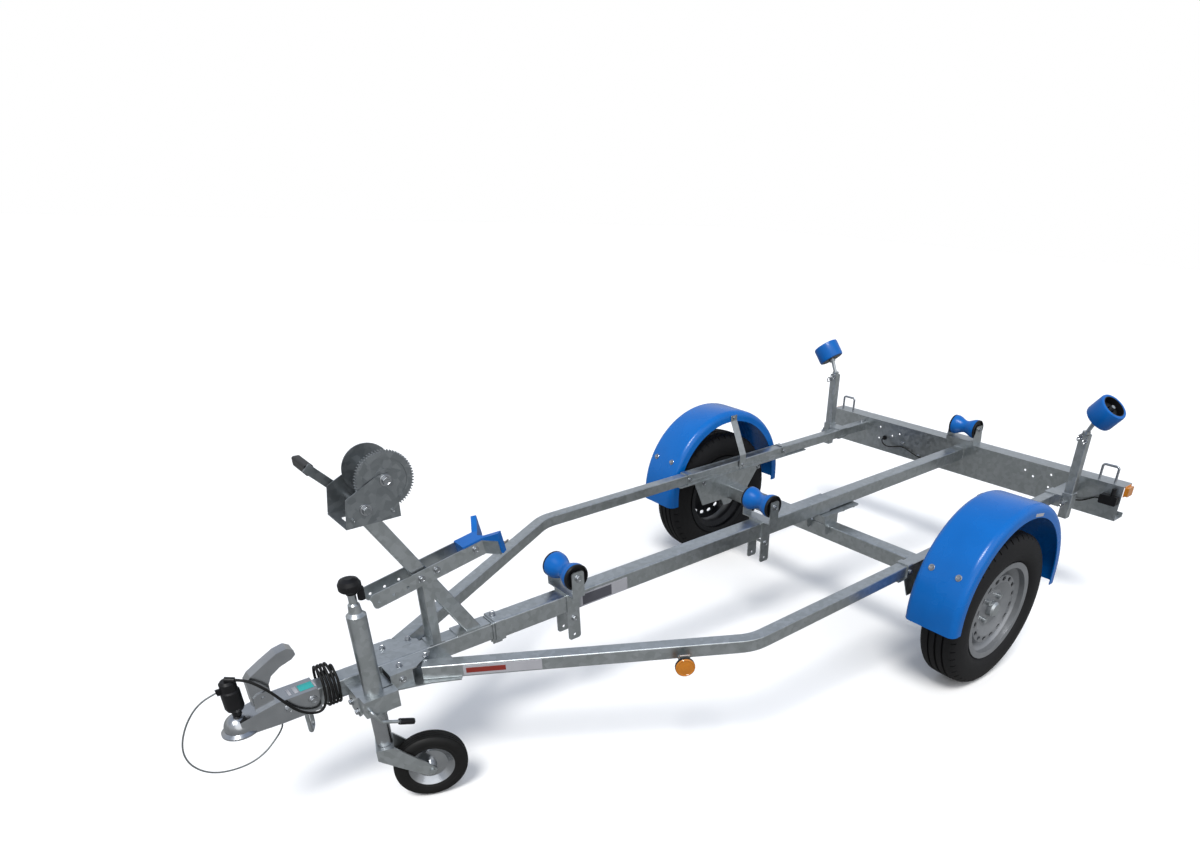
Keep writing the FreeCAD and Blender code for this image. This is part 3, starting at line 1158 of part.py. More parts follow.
SAFETY_WIRE = [V(2271, 0, 561), V(2292, 0, 557), V(2318, 0, 543), V(2339, 0, 521), V(2357, 0, 493),
               V(2370.6, 6, 465), V(2376, 12, 437), V(2371, 19, 410), V(2354.6, 26, 386), V(2328, 32, 368),
               V(2291.6, 36, 360), V(2251.7, 37, 360), V(2215.5, 35, 372), V(2186.7, 27, 390),
               V(2164.4, 14, 402), V(2152, 0, 411.5), V(2152, 0, drawbar_low - HEAD_T)]

LAMP_LEAD = [V(CROSS_FACE_X + 5, -410, 433), V(CROSS_FACE_X + 27, -410, 433), V(CROSS_FACE_X + 34, -398, 415),
             V(CROSS_FACE_X + 27, -376, 403), V(CROSS_FACE_X + 15, -345, 405), V(CROSS_FACE_X + 8, -310, 415),
             V(CROSS_FACE_X + 8, -276, 413), V(CROSS_FACE_X + 9, -240, 400), V(CROSS_FACE_X + 12, -200, 391),
             V(CROSS_FACE_X + 16, -155, 392), V(CROSS_FACE_X + 20, -112, 402), V(CROSS_FACE_X + 22, -78, 422),
             V(CROSS_FACE_X + 24, -53, 451), V(CROSS_FACE_X + 24, -31.5, 451)]

TAIL_LEAD = [V(CROSS_FACE_X + 13, CONNECTOR_Y - CONNECTOR_WIDE / 2, 446), V(CROSS_FACE_X + 13, 650, 446),
             V(CROSS_FACE_X + 15, 626, 430), V(CROSS_FACE_X + 17, 602, 417), V(CROSS_FACE_X + 17, 578, 411),
             V(CROSS_FACE_X + 17, 561, 415), V(CROSS_FACE_X + 17, RAIL_Y, 427), V(CROSS_FACE_X + 17, RAIL_Y, rail_low - 4)]


def make_leads():
    nodes["trailer_plug"] = trailer_plug()
    gland = V(lead_gland_x, lead_gland_y, drawbar_top + 4)
    riser = rod(gland, V(gland.x, gland.y, COIL_TOP - coil_wall), LEAD_R)
    nodes["trailer_lead"] = group([cord_tube("trailer lead", TRAILER_LEAD, LEAD_R), riser])
    nodes["lead_coil"] = lead_coil()
    nodes["safety_wire"] = cord_tube("safety wire", SAFETY_WIRE, WIRE_R)
    nodes["lamp_leads"] = group([cord_tube("lamp lead", LAMP_LEAD, LAMP_LEAD_R),
                                 cord_tube("tail lead", TAIL_LEAD, LAMP_LEAD_R)])
    nodes["lead_fittings"] = lead_fittings()


coil_wall = 1.3 * 2 * LEAD_R


def cord_tube(name, points, radius):
    """Tube of straight runs joined by tangent arcs, each arc as large as its two runs allow."""
    radii = []
    for before, corner, after in zip(points[:-2], points[1:-1], points[2:]):
        a, b = corner - before, after - corner
        radii.append(0.45 * min(a.Length, b.Length) / math.tan(a.getAngle(b) / 2))
    path = bent_path(points, radii)
    tube = sweep(path, points, radius)
    share = tube.Volume / (math.pi * radius ** 2 * path.Length)
    print(name, "length", round(path.Length), "radii", [round(r) for r in radii], "volume share", round(share, 4))
    return tube


def lead_coil():
    """Outer shape of the lead's turns round the drawbar."""
    a, b = V(COIL_REAR, 0, (COIL_TOP + COIL_BOTTOM) / 2), V(COIL_FRONT, 0, (COIL_TOP + COIL_BOTTOM) / 2)
    return bar(a, b, 2 * COIL_HALF + 4, COIL_TOP - COIL_BOTTOM, 34.0, coil_wall)


def trailer_plug():
    """Seven-pole plug parked upright on the coupling, with its lead boss and the safety wire's lug."""
    base = BALL_Z + dome_r + SEAT
    r, top = PLUG_R, PLUG_TOP - base
    body = spin([(0, 0), (0, 11), (14, 11), (16, r - 3), (24, r), (top - 30, r), (top - 26, r - 3), (top - 6, r - 3),
                 (top, r - 8), (top, 0)], V(PLUG_X, 0, base), Z, X)
    exit_dir = (TRAILER_LEAD[1] - TRAILER_LEAD[0]).normalize()
    boss = rod(TRAILER_LEAD[0] - exit_dir * 22, TRAILER_LEAD[0], 7.0)
    lug_x = SAFETY_WIRE[0].x
    lug = box(PLUG_X, lug_x, -3, 3, SAFETY_WIRE[0].z - 8, SAFETY_WIRE[0].z + 8)
    wire_dir = (SAFETY_WIRE[1] - SAFETY_WIRE[0]).normalize()
    lug = lug.cut(box(0, 40, -5, 5, -40, 40).transformed(
        FreeCAD.Placement(SAFETY_WIRE[0], FreeCAD.Rotation(X, wire_dir)).toMatrix()))
    return fuse([body, boss, lug])


def lead_fittings():
    """Grommets where the leads enter tubes, and the black lamp connector on the rear beam."""
    gland = V(lead_gland_x, lead_gland_y, drawbar_top)
    f = CROSS_FACE_X
    first, last = LAMP_LEAD[0], LAMP_LEAD[-1]
    y0, y1 = CONNECTOR_Y - CONNECTOR_WIDE / 2, CONNECTOR_Y + CONNECTOR_WIDE / 2
    connector = round_edges(box(f, f + 26, y0, y1, 432, 470), 6.0, X)
    neck = rod(V(f + 12, CONNECTOR_Y + 10, 460), V(f + 12, CONNECTOR_Y + 10, 500), 8.0)
    tail = TAIL_LEAD[-1]
    return group([rod(gland, gland + Z * 4, 7.0), rod(V(f, first.y, first.z), first, 11.0),
                  rod(last, V(last.x, -inner_half, last.z), 7.0), fuse([connector, neck]),
                  rod(tail, V(tail.x, tail.y, rail_low), 6.0)])


# ---------------------------------------------------------------- parked stance
def stance():
    """Pitch of the parked trailer, and the height that its wheels' ground point gains."""
    hub_x = JOCKEY_X + JOCKEY_TRAIL * math.cos(math.radians(JOCKEY_TURN))
    drop = TYRE_R - JOCKEY_HUB_Z
    pitch = math.asin((TYRE_R - JOCKEY_WHEEL_R) / math.hypot(drop, hub_x)) - math.atan2(drop, hub_x)
    return pitch, TYRE_R - TYRE_R * math.cos(pitch)


CORD_NODES = ("trailer_plug", "trailer_lead", "lead_coil", "safety_wire")

make_frame()
make_running_gear()
make_mudguards()
make_keel_rollers()
make_side_supports()
make_bow_stop()
make_winch()
make_coupling()
make_jockey()
make_leads()
pitch, lift = stance()
tip = FreeCAD.Placement(V(0, 0, lift), FreeCAD.Rotation(Y, math.degrees(pitch)))
tipped = {name: shape.transformed(tip.toMatrix(), True) for name, shape in nodes.items()}
whole = Part.makeCompound([s for n, s in tipped.items() if n not in CORD_NODES]).optimalBoundingBox(False)
shift = V(-(whole.XMin + whole.XMax) / 2, -(whole.YMin + whole.YMax) / 2, -whole.ZMin)
os.makedirs("parts", exist_ok=True)
for name, shape in tipped.items():
    shape.translated(shift).exportStep("parts/" + name + ".step")
print("nodes", len(nodes), "pitch", round(math.degrees(pitch), 4), "shift", shift)
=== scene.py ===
# %% [markdown]
# # A boat trailer
# The real object is a small single-axle trailer: a galvanised frame, blue plastic mudguards and rollers, a
# hand winch, a ball coupling and a jockey wheel. The steel solids come from the imported model. This lesson
# gives them their finishes and adds what a solid does not have: tread, leads, bolts, welds, caps and
# labels. We load the model.

# %% Load the frame
import json
import math
import bpy
from mathutils import Matrix, Vector


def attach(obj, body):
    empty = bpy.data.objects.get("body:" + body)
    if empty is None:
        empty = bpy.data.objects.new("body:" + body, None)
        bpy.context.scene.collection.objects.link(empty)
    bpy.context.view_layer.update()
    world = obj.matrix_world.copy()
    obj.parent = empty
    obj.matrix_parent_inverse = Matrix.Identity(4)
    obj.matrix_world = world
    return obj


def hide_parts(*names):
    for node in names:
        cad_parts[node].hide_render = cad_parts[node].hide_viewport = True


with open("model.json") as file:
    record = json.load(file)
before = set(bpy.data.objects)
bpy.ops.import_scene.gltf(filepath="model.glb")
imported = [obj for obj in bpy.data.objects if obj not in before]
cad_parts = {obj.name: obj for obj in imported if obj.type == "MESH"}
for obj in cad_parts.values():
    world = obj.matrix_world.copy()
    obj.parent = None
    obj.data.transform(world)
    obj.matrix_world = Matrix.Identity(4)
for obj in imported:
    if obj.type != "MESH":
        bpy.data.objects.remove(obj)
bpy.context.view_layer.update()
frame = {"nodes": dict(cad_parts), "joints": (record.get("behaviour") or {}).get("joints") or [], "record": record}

joints = {j["name"]: j for j in frame["joints"]}
slot_of = {s["node"]: s["material_slot"] for s in frame["record"]["subparts"]}
bpy.ops.object.select_all(action="DESELECT")

# %% [markdown]
# ## The trailer's own axes
# A trailer is drawn level, but it parks nose-down on its jockey wheel. Drawing each bolt tilted would be
# awkward, so every new piece is drawn level: x forward from the axle, y to the left, z up from the tyres'
# ground. The matrix PARK then carries it to where it stands. The jockey leg winds straight down in level
# axes, so its joint's axis gives the tilt, and the left wheel's centre gives the place.

# %% From level axes to the parked trailer
down = Vector(joints["jockey_wind"]["axis"])
pitch = math.atan2(-down.x, -down.z)
WHEEL_Y = 0.7075
WHEEL_R = 0.286
turn = Matrix.Rotation(pitch, 4, "Y")
hub_level = Vector((0.0, WHEEL_Y, WHEEL_R))
hub_parked = Vector(joints["wheel_left_spin"]["pos_m"])
PARK = Matrix.Translation(hub_parked - turn @ hub_level) @ turn
LEVEL = PARK.inverted()


def level_place(joint):
    """A joint's place in level axes."""
    return LEVEL @ Vector(joints[joint]["pos_m"])


def level_axis(joint):
    """A joint's axis in level axes."""
    return (LEVEL.to_3x3() @ Vector(joints[joint]["axis"])).normalized()


print("pitch", round(math.degrees(pitch), 3), "winch at", level_place("winch_drum_spin"))

# %% [markdown]
# ## Camera, light and floor
# The camera looks down on the coupling from the left. Its lens and shift frame the whole trailer. A big
# soft light from above and a weaker one from the left are plain studio light, and the world is white to the
# camera but bluish above and pale below for the reflections, as an open sky is. Galvanised steel lives from
# that. The floor looks pale to the camera but lights the trailer's underside as dark ground would, which
# keeps its sides deep.

# %% Camera
CAMERA_AT = Vector((2.4325, 1.8383, 1.6682))
CAMERA_YAW, CAMERA_PITCH, CAMERA_ROLL = map(math.radians, (-130.4, -30.37, 0.32))
look = Vector((math.cos(CAMERA_YAW) * math.cos(CAMERA_PITCH), math.sin(CAMERA_YAW) * math.cos(CAMERA_PITCH),
               math.sin(CAMERA_PITCH)))
camera_data = bpy.data.cameras.new("camera")
camera_data.lens = 23.59
camera_data.sensor_width = 36.0
camera_data.shift_x = -0.0569
camera_data.shift_y = 0.1606
camera = bpy.data.objects.new("camera", camera_data)
bpy.context.scene.collection.objects.link(camera)
aim = look.to_track_quat("-Z", "Y").to_matrix().to_4x4() @ Matrix.Rotation(CAMERA_ROLL, 4, "Z")
camera.matrix_world = PARK @ Matrix.Translation(CAMERA_AT) @ aim
bpy.context.scene.camera = camera
print("camera at", [round(v, 3) for v in camera.matrix_world.translation])

# %% Floor, lights and world
bpy.ops.mesh.primitive_plane_add(size=60.0, location=(0.0, 0.0, -0.001))
floor = bpy.context.active_object
floor.name = "floor"
floor_material = bpy.data.materials.new("floor_paper")
floor_material.use_nodes = True
paper = floor_material.node_tree.nodes["Principled BSDF"]
floor_path = floor_material.node_tree.nodes.new("ShaderNodeLightPath")
floor_tone = floor_material.node_tree.nodes.new("ShaderNodeMix")
floor_tone.data_type = "RGBA"
floor_tone.inputs["A"].default_value = (0.27, 0.27, 0.26, 1.0)
floor_tone.inputs["B"].default_value = (0.93, 0.925, 0.915, 1.0)
floor_material.node_tree.links.new(floor_path.outputs["Is Camera Ray"], floor_tone.inputs["Factor"])
floor_material.node_tree.links.new(floor_tone.outputs["Result"], paper.inputs["Base Color"])
paper.inputs["Roughness"].default_value = 0.9
floor.data.materials.append(floor_material)


def soft_sun(name, from_place, strength, spread, colour):
    """Even light from one direction: the wide disc makes its shadows soft."""
    data = bpy.data.lights.new(name, "SUN")
    data.energy = strength
    data.angle = math.radians(spread)
    data.color = colour
    light = bpy.data.objects.new(name, data)
    bpy.context.scene.collection.objects.link(light)
    light.rotation_euler = Vector(from_place).to_track_quat("Z", "Y").to_euler()
    return light


soft_sun("key", (0.55, 0.35, 1.0), 2.5, 20.0, (1.0, 0.985, 0.955))
soft_sun("fill", (0.2, 1.0, 0.55), 0.75, 60.0, (1.0, 0.99, 0.97))
world = bpy.data.worlds.new("studio")
bpy.context.scene.world = world
world.use_nodes = True
w = world.node_tree
w.nodes.clear()
w_out = w.nodes.new("ShaderNodeOutputWorld")
w_mix = w.nodes.new("ShaderNodeMixShader")
w_white = w.nodes.new("ShaderNodeBackground")
w_room = w.nodes.new("ShaderNodeBackground")
w_path = w.nodes.new("ShaderNodeLightPath")
w_coord = w.nodes.new("ShaderNodeTexCoord")
w_split = w.nodes.new("ShaderNodeSeparateXYZ")
w_ramp = w.nodes.new("ShaderNodeValToRGB")
w_white.inputs["Color"].default_value = (1.0, 1.0, 1.0, 1.0)
w_room.inputs["Strength"].default_value = 0.72
ramp = w_ramp.color_ramp
ramp.elements[0].position = 0.0
ramp.elements[0].color = (0.55, 0.54, 0.52, 1.0)
ramp.elements[1].position = 1.0
ramp.elements[1].color = (0.50, 0.60, 0.80, 1.0)
ramp.elements.new(0.48).color = (0.62, 0.62, 0.60, 1.0)
ramp.elements.new(0.62).color = (0.95, 0.97, 1.0, 1.0)
w_map = w.nodes.new("ShaderNodeMapRange")
w_map.inputs["From Min"].default_value = -1.0
w.links.new(w_coord.outputs["Generated"], w_split.inputs[0])
w.links.new(w_split.outputs["Z"], w_map.inputs["Value"])
w.links.new(w_map.outputs[0], w_ramp.inputs["Fac"])
w.links.new(w_ramp.outputs["Color"], w_room.inputs["Color"])
w_any = w.nodes.new("ShaderNodeMath")
w_any.operation = "MAXIMUM"
w.links.new(w_path.outputs["Is Camera Ray"], w_any.inputs[0])
w.links.new(w_path.outputs["Is Transmission Ray"], w_any.inputs[1])
w.links.new(w_any.outputs[0], w_mix.inputs["Fac"])
w.links.new(w_room.outputs[0], w_mix.inputs[1])
w.links.new(w_white.outputs[0], w_mix.inputs[2])
w.links.new(w_mix.outputs[0], w_out.inputs["Surface"])
bpy.context.scene.view_settings.view_transform = "Standard"
print("lights and world ready")

# %% [markdown]
# ## Finishes
# Hot-dip galvanising freezes into crystals, the spangle: patches a few millimetres to centimetres wide that
# differ a little in brightness and in gloss. A Voronoi texture gives one random value per patch, and a
# finer noise dulls it. The other finishes are simpler, but each has some colour change, its own roughness
# and a small bump. One function builds them all from a few numbers, so that the differences between
# finishes are easy to read.

# %% A function that builds a finish
def finish(name, dark, light, rough, metal=0.0, patch=90.0, grain=600.0, bump=0.08, coat=0.0, spangle=False,
           shine=0.5, shaded_within=None):
    """Procedural finish: colour runs from dark to light, roughness over a range, with a fine bump.

    With shaded_within, what lies nearer than that to the middle plane, or faces it, is painted dark as shade.
    """
    material = bpy.data.materials.new(name)
    material.use_nodes = True
    tree = material.node_tree
    shader = tree.nodes["Principled BSDF"]
    coord = tree.nodes.new("ShaderNodeTexCoord")
    wide = tree.nodes.new("ShaderNodeTexVoronoi" if spangle else "ShaderNodeTexNoise")
    wide.inputs["Scale"].default_value = patch
    fine = tree.nodes.new("ShaderNodeTexNoise")
    fine.inputs["Scale"].default_value = grain
    fine.inputs["Detail"].default_value = 4.0
    slow = tree.nodes.new("ShaderNodeTexNoise")
    slow.inputs["Scale"].default_value = 5.0
    for node in (wide, fine, slow):
        tree.links.new(coord.outputs["Object"], node.inputs["Vector"])
    value = tree.nodes.new("ShaderNodeMath")
    value.operation = "MULTIPLY_ADD"
    value.inputs[1].default_value = 0.55
    if spangle:
        split = tree.nodes.new("ShaderNodeSeparateColor")
        tree.links.new(wide.outputs["Color"], split.inputs[0])
        tree.links.new(split.outputs[0], value.inputs[0])
    else:
        tree.links.new(wide.outputs["Fac"], value.inputs[0])
    half = tree.nodes.new("ShaderNodeMath")
    half.operation = "MULTIPLY"
    half.inputs[1].default_value = 0.45
    tree.links.new(slow.outputs["Fac"], half.inputs[0])
    tree.links.new(half.outputs[0], value.inputs[2])
    ramp = tree.nodes.new("ShaderNodeValToRGB")
    ramp.color_ramp.elements[0].position = 0.15
    ramp.color_ramp.elements[0].color = (*dark, 1.0)
    ramp.color_ramp.elements[1].position = 0.85
    ramp.color_ramp.elements[1].color = (*light, 1.0)
    tree.links.new(value.outputs[0], ramp.inputs["Fac"])
    tree.links.new(ramp.outputs["Color"], shader.inputs["Base Color"])
    if shaded_within:
        place = tree.nodes.new("ShaderNodeSeparateXYZ")
        tree.links.new(coord.outputs["Object"], place.inputs[0])
        distance = tree.nodes.new("ShaderNodeMath")
        distance.operation = "ABSOLUTE"
        tree.links.new(place.outputs["Y"], distance.inputs[0])
        fade = tree.nodes.new("ShaderNodeMapRange")
        fade.inputs["From Min"].default_value = shaded_within - 0.012
        fade.inputs["From Max"].default_value = shaded_within + 0.012
        tree.links.new(distance.outputs[0], fade.inputs["Value"])
        facing = tree.nodes.new("ShaderNodeSeparateXYZ")
        tree.links.new(coord.outputs["Normal"], facing.inputs[0])
        outwards = tree.nodes.new("ShaderNodeMath")
        outwards.operation = "MULTIPLY"
        tree.links.new(place.outputs["Y"], outwards.inputs[0])
        tree.links.new(facing.outputs["Y"], outwards.inputs[1])
        side = tree.nodes.new("ShaderNodeMapRange")
        side.inputs["From Min"].default_value = -0.30
        side.inputs["From Max"].default_value = -0.10
        tree.links.new(outwards.outputs[0], side.inputs["Value"])
        both = tree.nodes.new("ShaderNodeMath")
        both.operation = "MULTIPLY"
        tree.links.new(fade.outputs[0], both.inputs[0])
        tree.links.new(side.outputs[0], both.inputs[1])
        # Painted shade: a near-black colour stands in for the shadow on the side that faces the trailer's middle.
        painted_shade = tree.nodes.new("ShaderNodeMix")
        painted_shade.data_type = "RGBA"
        painted_shade.inputs["A"].default_value = (0.018, 0.019, 0.022, 1.0)
        tree.links.new(both.outputs[0], painted_shade.inputs["Factor"])
        tree.links.new(ramp.outputs["Color"], painted_shade.inputs["B"])
        tree.links.new(painted_shade.outputs["Result"], shader.inputs["Base Color"])
    gloss = tree.nodes.new("ShaderNodeMapRange")
    gloss.inputs["To Min"].default_value = rough[0]
    gloss.inputs["To Max"].default_value = rough[1]
    tree.links.new(value.outputs[0], gloss.inputs["Value"])
    tree.links.new(gloss.outputs[0], shader.inputs["Roughness"])
    relief = tree.nodes.new("ShaderNodeBump")
    relief.inputs["Strength"].default_value = bump
    relief.inputs["Distance"].default_value = 0.001
    tree.links.new(fine.outputs["Fac"], relief.inputs["Height"])
    tree.links.new(relief.outputs["Normal"], shader.inputs["Normal"])
    shader.inputs["Metallic"].default_value = metal
    shader.inputs["Specular IOR Level"].default_value = shine
    shader.inputs["Coat Weight"].default_value = coat
    shader.inputs["Coat Roughness"].default_value = 0.08
    return material


# %% The finishes of the trailer
finishes = {
    "galvanised": finish("galvanised", (0.385, 0.412, 0.418), (0.500, 0.528, 0.545), (0.26, 0.40),
                         metal=0.95, patch=70.0, grain=450.0, bump=0.04, spangle=True),
    "zinc": finish("zinc", (0.34, 0.355, 0.375), (0.50, 0.515, 0.535), (0.16, 0.30),
                   metal=1.0, patch=30.0, grain=900.0, bump=0.05),
    # The rims' inboard side gets painted shade through shaded_within.
    "silver_rim": finish("silver_rim", (0.21, 0.22, 0.235), (0.31, 0.32, 0.335), (0.34, 0.46),
                         metal=0.6, patch=30.0, grain=700.0, bump=0.06, shaded_within=0.700),
    "tyre": finish("tyre", (0.004, 0.004, 0.005), (0.011, 0.011, 0.012), (0.55, 0.72),
                   patch=60.0, grain=900.0, bump=0.35, shine=0.25),
    "blue_plastic": finish("blue_plastic", (0.0, 0.098, 0.37), (0.0, 0.130, 0.48), (0.22, 0.32),
                           patch=12.0, grain=250.0, bump=0.04, coat=0.15, shine=0.25),
    "blue_rubber": finish("blue_rubber", (0.0, 0.085, 0.33), (0.0, 0.125, 0.47), (0.28, 0.40),
                          patch=25.0, grain=350.0, bump=0.06, coat=0.1, shine=0.28),
    "black_plastic": finish("black_plastic", (0.004, 0.004, 0.005), (0.010, 0.010, 0.011), (0.30, 0.44),
                            patch=50.0, grain=800.0, bump=0.12, shine=0.25),
    "black_rubber": finish("black_rubber", (0.004, 0.004, 0.004), (0.010, 0.010, 0.010), (0.45, 0.62),
                           patch=50.0, grain=900.0, bump=0.15, shine=0.22),
    "amber_lens": finish("amber_lens", (0.42, 0.125, 0.003), (0.58, 0.215, 0.008), (0.12, 0.22),
                         patch=200.0, grain=500.0, bump=0.1, coat=0.5),
    "winch_grey": finish("winch_grey", (0.200, 0.218, 0.230), (0.285, 0.305, 0.320), (0.30, 0.44),
                         metal=0.88, patch=70.0, grain=600.0, bump=0.04, spangle=True),
}
steel_rope = finish("steel_rope", (0.09, 0.10, 0.10), (0.16, 0.17, 0.17), (0.35, 0.5),
                    metal=0.5, patch=300.0, grain=900.0, bump=0.1)
white_label = finish("white_label", (0.34, 0.34, 0.37), (0.42, 0.42, 0.45), (0.25, 0.35),
                     metal=0.1, patch=30.0, grain=600.0, bump=0.03)
for name, node in frame["nodes"].items():
    node.data.materials.clear()
    node.data.materials.append(finishes[slot_of[name]])
print("finishes", len(finishes) + 2)

# %% [markdown]
# ## Ending a piece
# Each new piece gets the same ending: it is carried to the parked stance with its transform applied, so
# that its origin is the scene's, its normals are made to point outwards, its faces are shaded smooth up to
# an angle, and it is given a finish and the body that it rides on.

# %% Helpers for picking and ending
def alone(piece):
    """Select one object only, and make it active."""
    bpy.ops.object.select_all(action="DESELECT")
    piece.select_set(True)
    bpy.context.view_layer.objects.active = piece


def join(pieces, name):
    """Several objects become one."""
    bpy.ops.object.select_all(action="DESELECT")
    for piece in pieces:
        piece.select_set(True)
    bpy.context.view_layer.objects.active = pieces[0]
    if len(pieces) > 1:
        bpy.ops.object.join()
    pieces[0].name = name
    return pieces[0]


def park(piece, name, body, slot, angle=35.0, material=None):
    """End a level piece: carry it, apply, clean, shade, finish and ride."""
    bpy.context.view_layer.update()
    piece.matrix_world = PARK @ piece.matrix_world
    alone(piece)
    bpy.ops.object.transform_apply(location=True, rotation=True, scale=True)
    bpy.ops.object.mode_set(mode="EDIT")
    bpy.ops.mesh.select_all(action="SELECT")
    bpy.ops.mesh.remove_doubles(threshold=0.00001)
    bpy.ops.mesh.normals_make_consistent(inside=False)
    bpy.ops.object.mode_set(mode="OBJECT")
    bpy.ops.object.shade_smooth_by_angle(angle=math.radians(angle))
    piece.name = name
    piece.data.name = name
    piece.data.materials.clear()
    piece.data.materials.append(material or finishes[slot])
    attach(piece, body)
    bpy.ops.object.select_all(action="DESELECT")
    return piece


def toward(axis):
    """Turn that lays a primitive's z along an axis."""
    return Vector(axis).to_track_quat("Z", "Y").to_euler()


print("helpers ready")

# %% [markdown]
# ## The lead and the safety wire
# The lead leaves a gland on top of the drawbar, winds round the drawbar a few times and runs forward to its
# plug, which is parked upright on the coupling. It is one flexible thing of one length, so it is one curve:
# the turns come from a loop that goes round a rounded rectangle, and the rest is a short list of given
# points. A NURBS curve of order 3 with its ends reached makes them one smooth line.

# %% Lead
LEAD_D = 0.007
GLAND = Vector((2.008, -0.012, 0.4945))
COIL_HALF_Y, COIL_HALF_Z, COIL_MID_Z = 0.0455, 0.0540, 0.4775
COIL_TURNS, TURN_POINTS, COIL_PITCH = 4.25, 16, 0.0088
LEAD_RUN = [(2.226, 0.0105, 0.585), (2.212, 0.018, 0.582), (2.197, 0.026, 0.574), (2.180, 0.035, 0.557),
            (2.163, 0.041, 0.535), (2.143, 0.0435, 0.500), (2.121, 0.044, 0.464), (2.098, 0.044, 0.443),
            (2.074, 0.044, 0.434)]


def coil_point(turn_angle, x):
    """Point of a turn round the drawbar: a rounded rectangle as a superellipse."""
    c, s = math.cos(turn_angle), math.sin(turn_angle)
    reach = (abs(c / COIL_HALF_Y) ** 2.5 + abs(s / COIL_HALF_Z) ** 2.5) ** (-1 / 2.5)
    return Vector((x, reach * c, COIL_MID_Z + reach * s))


def curve_piece(name, points, diameter, slot, closed_ends=True, material=None):
    """Smooth round cord through given points, as a NURBS curve of one spline."""
    data = bpy.data.curves.new(name, "CURVE")
    data.dimensions = "3D"
    spline = data.splines.new("NURBS")
    spline.points.add(len(points) - 1)
    for point, place in zip(spline.points, points):
        point.co = (*(PARK @ Vector(place)), 1.0)
    spline.order_u = 3
    spline.use_endpoint_u = True
    spline.resolution_u = 6
    data.bevel_depth = diameter / 2
    data.bevel_resolution = 4
    data.use_fill_caps = closed_ends
    piece = bpy.data.objects.new(name, data)
    bpy.context.scene.collection.objects.link(piece)
    data.materials.append(material or finishes[slot])
    return piece


def line_length(piece):
    """Length of a curve's middle line."""
    bevel = piece.data.bevel_depth
    piece.data.bevel_depth = 0.0
    bpy.context.view_layer.update()
    line = bpy.data.meshes.new_from_object(piece.evaluated_get(bpy.context.evaluated_depsgraph_get()))
    ends = [(line.vertices[e.vertices[0]].co, line.vertices[e.vertices[1]].co) for e in line.edges]
    total = sum((first - last).length for first, last in ends)
    piece.data.bevel_depth = bevel
    bpy.data.meshes.remove(line)
    return total


# The rise out of the gland, as y and z from it.
LEAD_RISE = [(0.0, 0.012), (0.0005, 0.0215), (0.005, 0.030), (0.013, 0.035), (0.023, 0.0365)]
route = [GLAND] + [GLAND + Vector((0.0, y, z)) for y, z in LEAD_RISE]
count = int(COIL_TURNS * TURN_POINTS)
for i in range(1, count - 1):
    swing = 0.0016 * math.sin(i * 1.7)
    angle = math.pi / 2 - 2 * math.pi * i / TURN_POINTS
    route.append(coil_point(angle, GLAND.x + COIL_PITCH * i / TURN_POINTS + swing * 0.4))
route += [Vector((2.0475, 0.0455, 0.470)), Vector((2.0520, 0.0452, 0.452)), Vector((2.0610, 0.0445, 0.438))]
route += [Vector(p) for p in reversed(LEAD_RUN)]
lead = curve_piece("lead", route, LEAD_D, "black_rubber")
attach(lead, "chassis")
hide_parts("trailer_lead", "lead_coil")
lead_length = line_length(lead)
print("lead", round(lead_length, 3), "m")

# %% [markdown]
# The safety wire is a thin steel rope in a plastic skin. It hangs in a loop in front of the coupling, from
# the plug's lug round and back to the underside of the sleeve, stiff enough to keep its bow.

# %% Safety wire
WIRE_D = 0.004
WIRE_RUN = [(2.271, 0, 0.561), (2.292, 0, 0.557), (2.318, 0, 0.543), (2.339, 0, 0.521), (2.357, 0, 0.493),
            (2.3706, 0.006, 0.465), (2.376, 0.012, 0.437), (2.371, 0.019, 0.410), (2.3546, 0.026, 0.386),
            (2.328, 0.032, 0.368), (2.2916, 0.036, 0.360), (2.2517, 0.037, 0.360), (2.2155, 0.035, 0.372),
            (2.1867, 0.027, 0.390), (2.1644, 0.014, 0.402), (2.152, 0, 0.4115), (2.152, 0, 0.4325)]
wire = curve_piece("wire_loop", WIRE_RUN, WIRE_D, "zinc", material=steel_rope)
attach(wire, "chassis")
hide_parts("safety_wire")
wire_length = line_length(wire)
print("wire", round(wire_length, 3), "m")

# %% [markdown]
# ## Round pieces
# Tyres, rollers and caps are round about an axle. In a factory they are moulded or turned; here a profile
# of a few points is drawn by extruding one vertex and then spun about the axle, which gives clean rings of
# faces. A second helper picks faces or edges by where they are, so that edit mode can inset, bevel or
# extrude just those.

# %% Helpers for round pieces and for picking
def turned(centre, axis, out, profile, steps, angle=2 * math.pi):
    """Spin a profile of (along the axis, radius) pairs about an axis through a centre."""
    centre, axis, out = Vector(centre), Vector(axis).normalized(), Vector(out).normalized()
    start = centre + axis * profile[0][0] + out * profile[0][1]
    bpy.ops.object.select_all(action="DESELECT")
    bpy.ops.mesh.primitive_plane_add(size=0.001, location=start)
    piece = bpy.context.active_object
    bpy.ops.object.mode_set(mode="EDIT")
    bpy.ops.mesh.select_mode(type="VERT")
    bpy.ops.mesh.select_all(action="SELECT")
    bpy.ops.mesh.merge(type="CENTER")
    for (a0, r0), (a1, r1) in zip(profile, profile[1:]):
        bpy.ops.mesh.extrude_region_move(TRANSFORM_OT_translate={"value": axis * (a1 - a0) + out * (r1 - r0)})
    bpy.ops.mesh.select_all(action="SELECT")
    bpy.ops.mesh.spin(steps=steps, angle=angle, center=centre, axis=axis)
    bpy.ops.mesh.select_all(action="SELECT")
    bpy.ops.mesh.remove_doubles(threshold=0.00001)
    bpy.ops.object.mode_set(mode="OBJECT")
    return piece


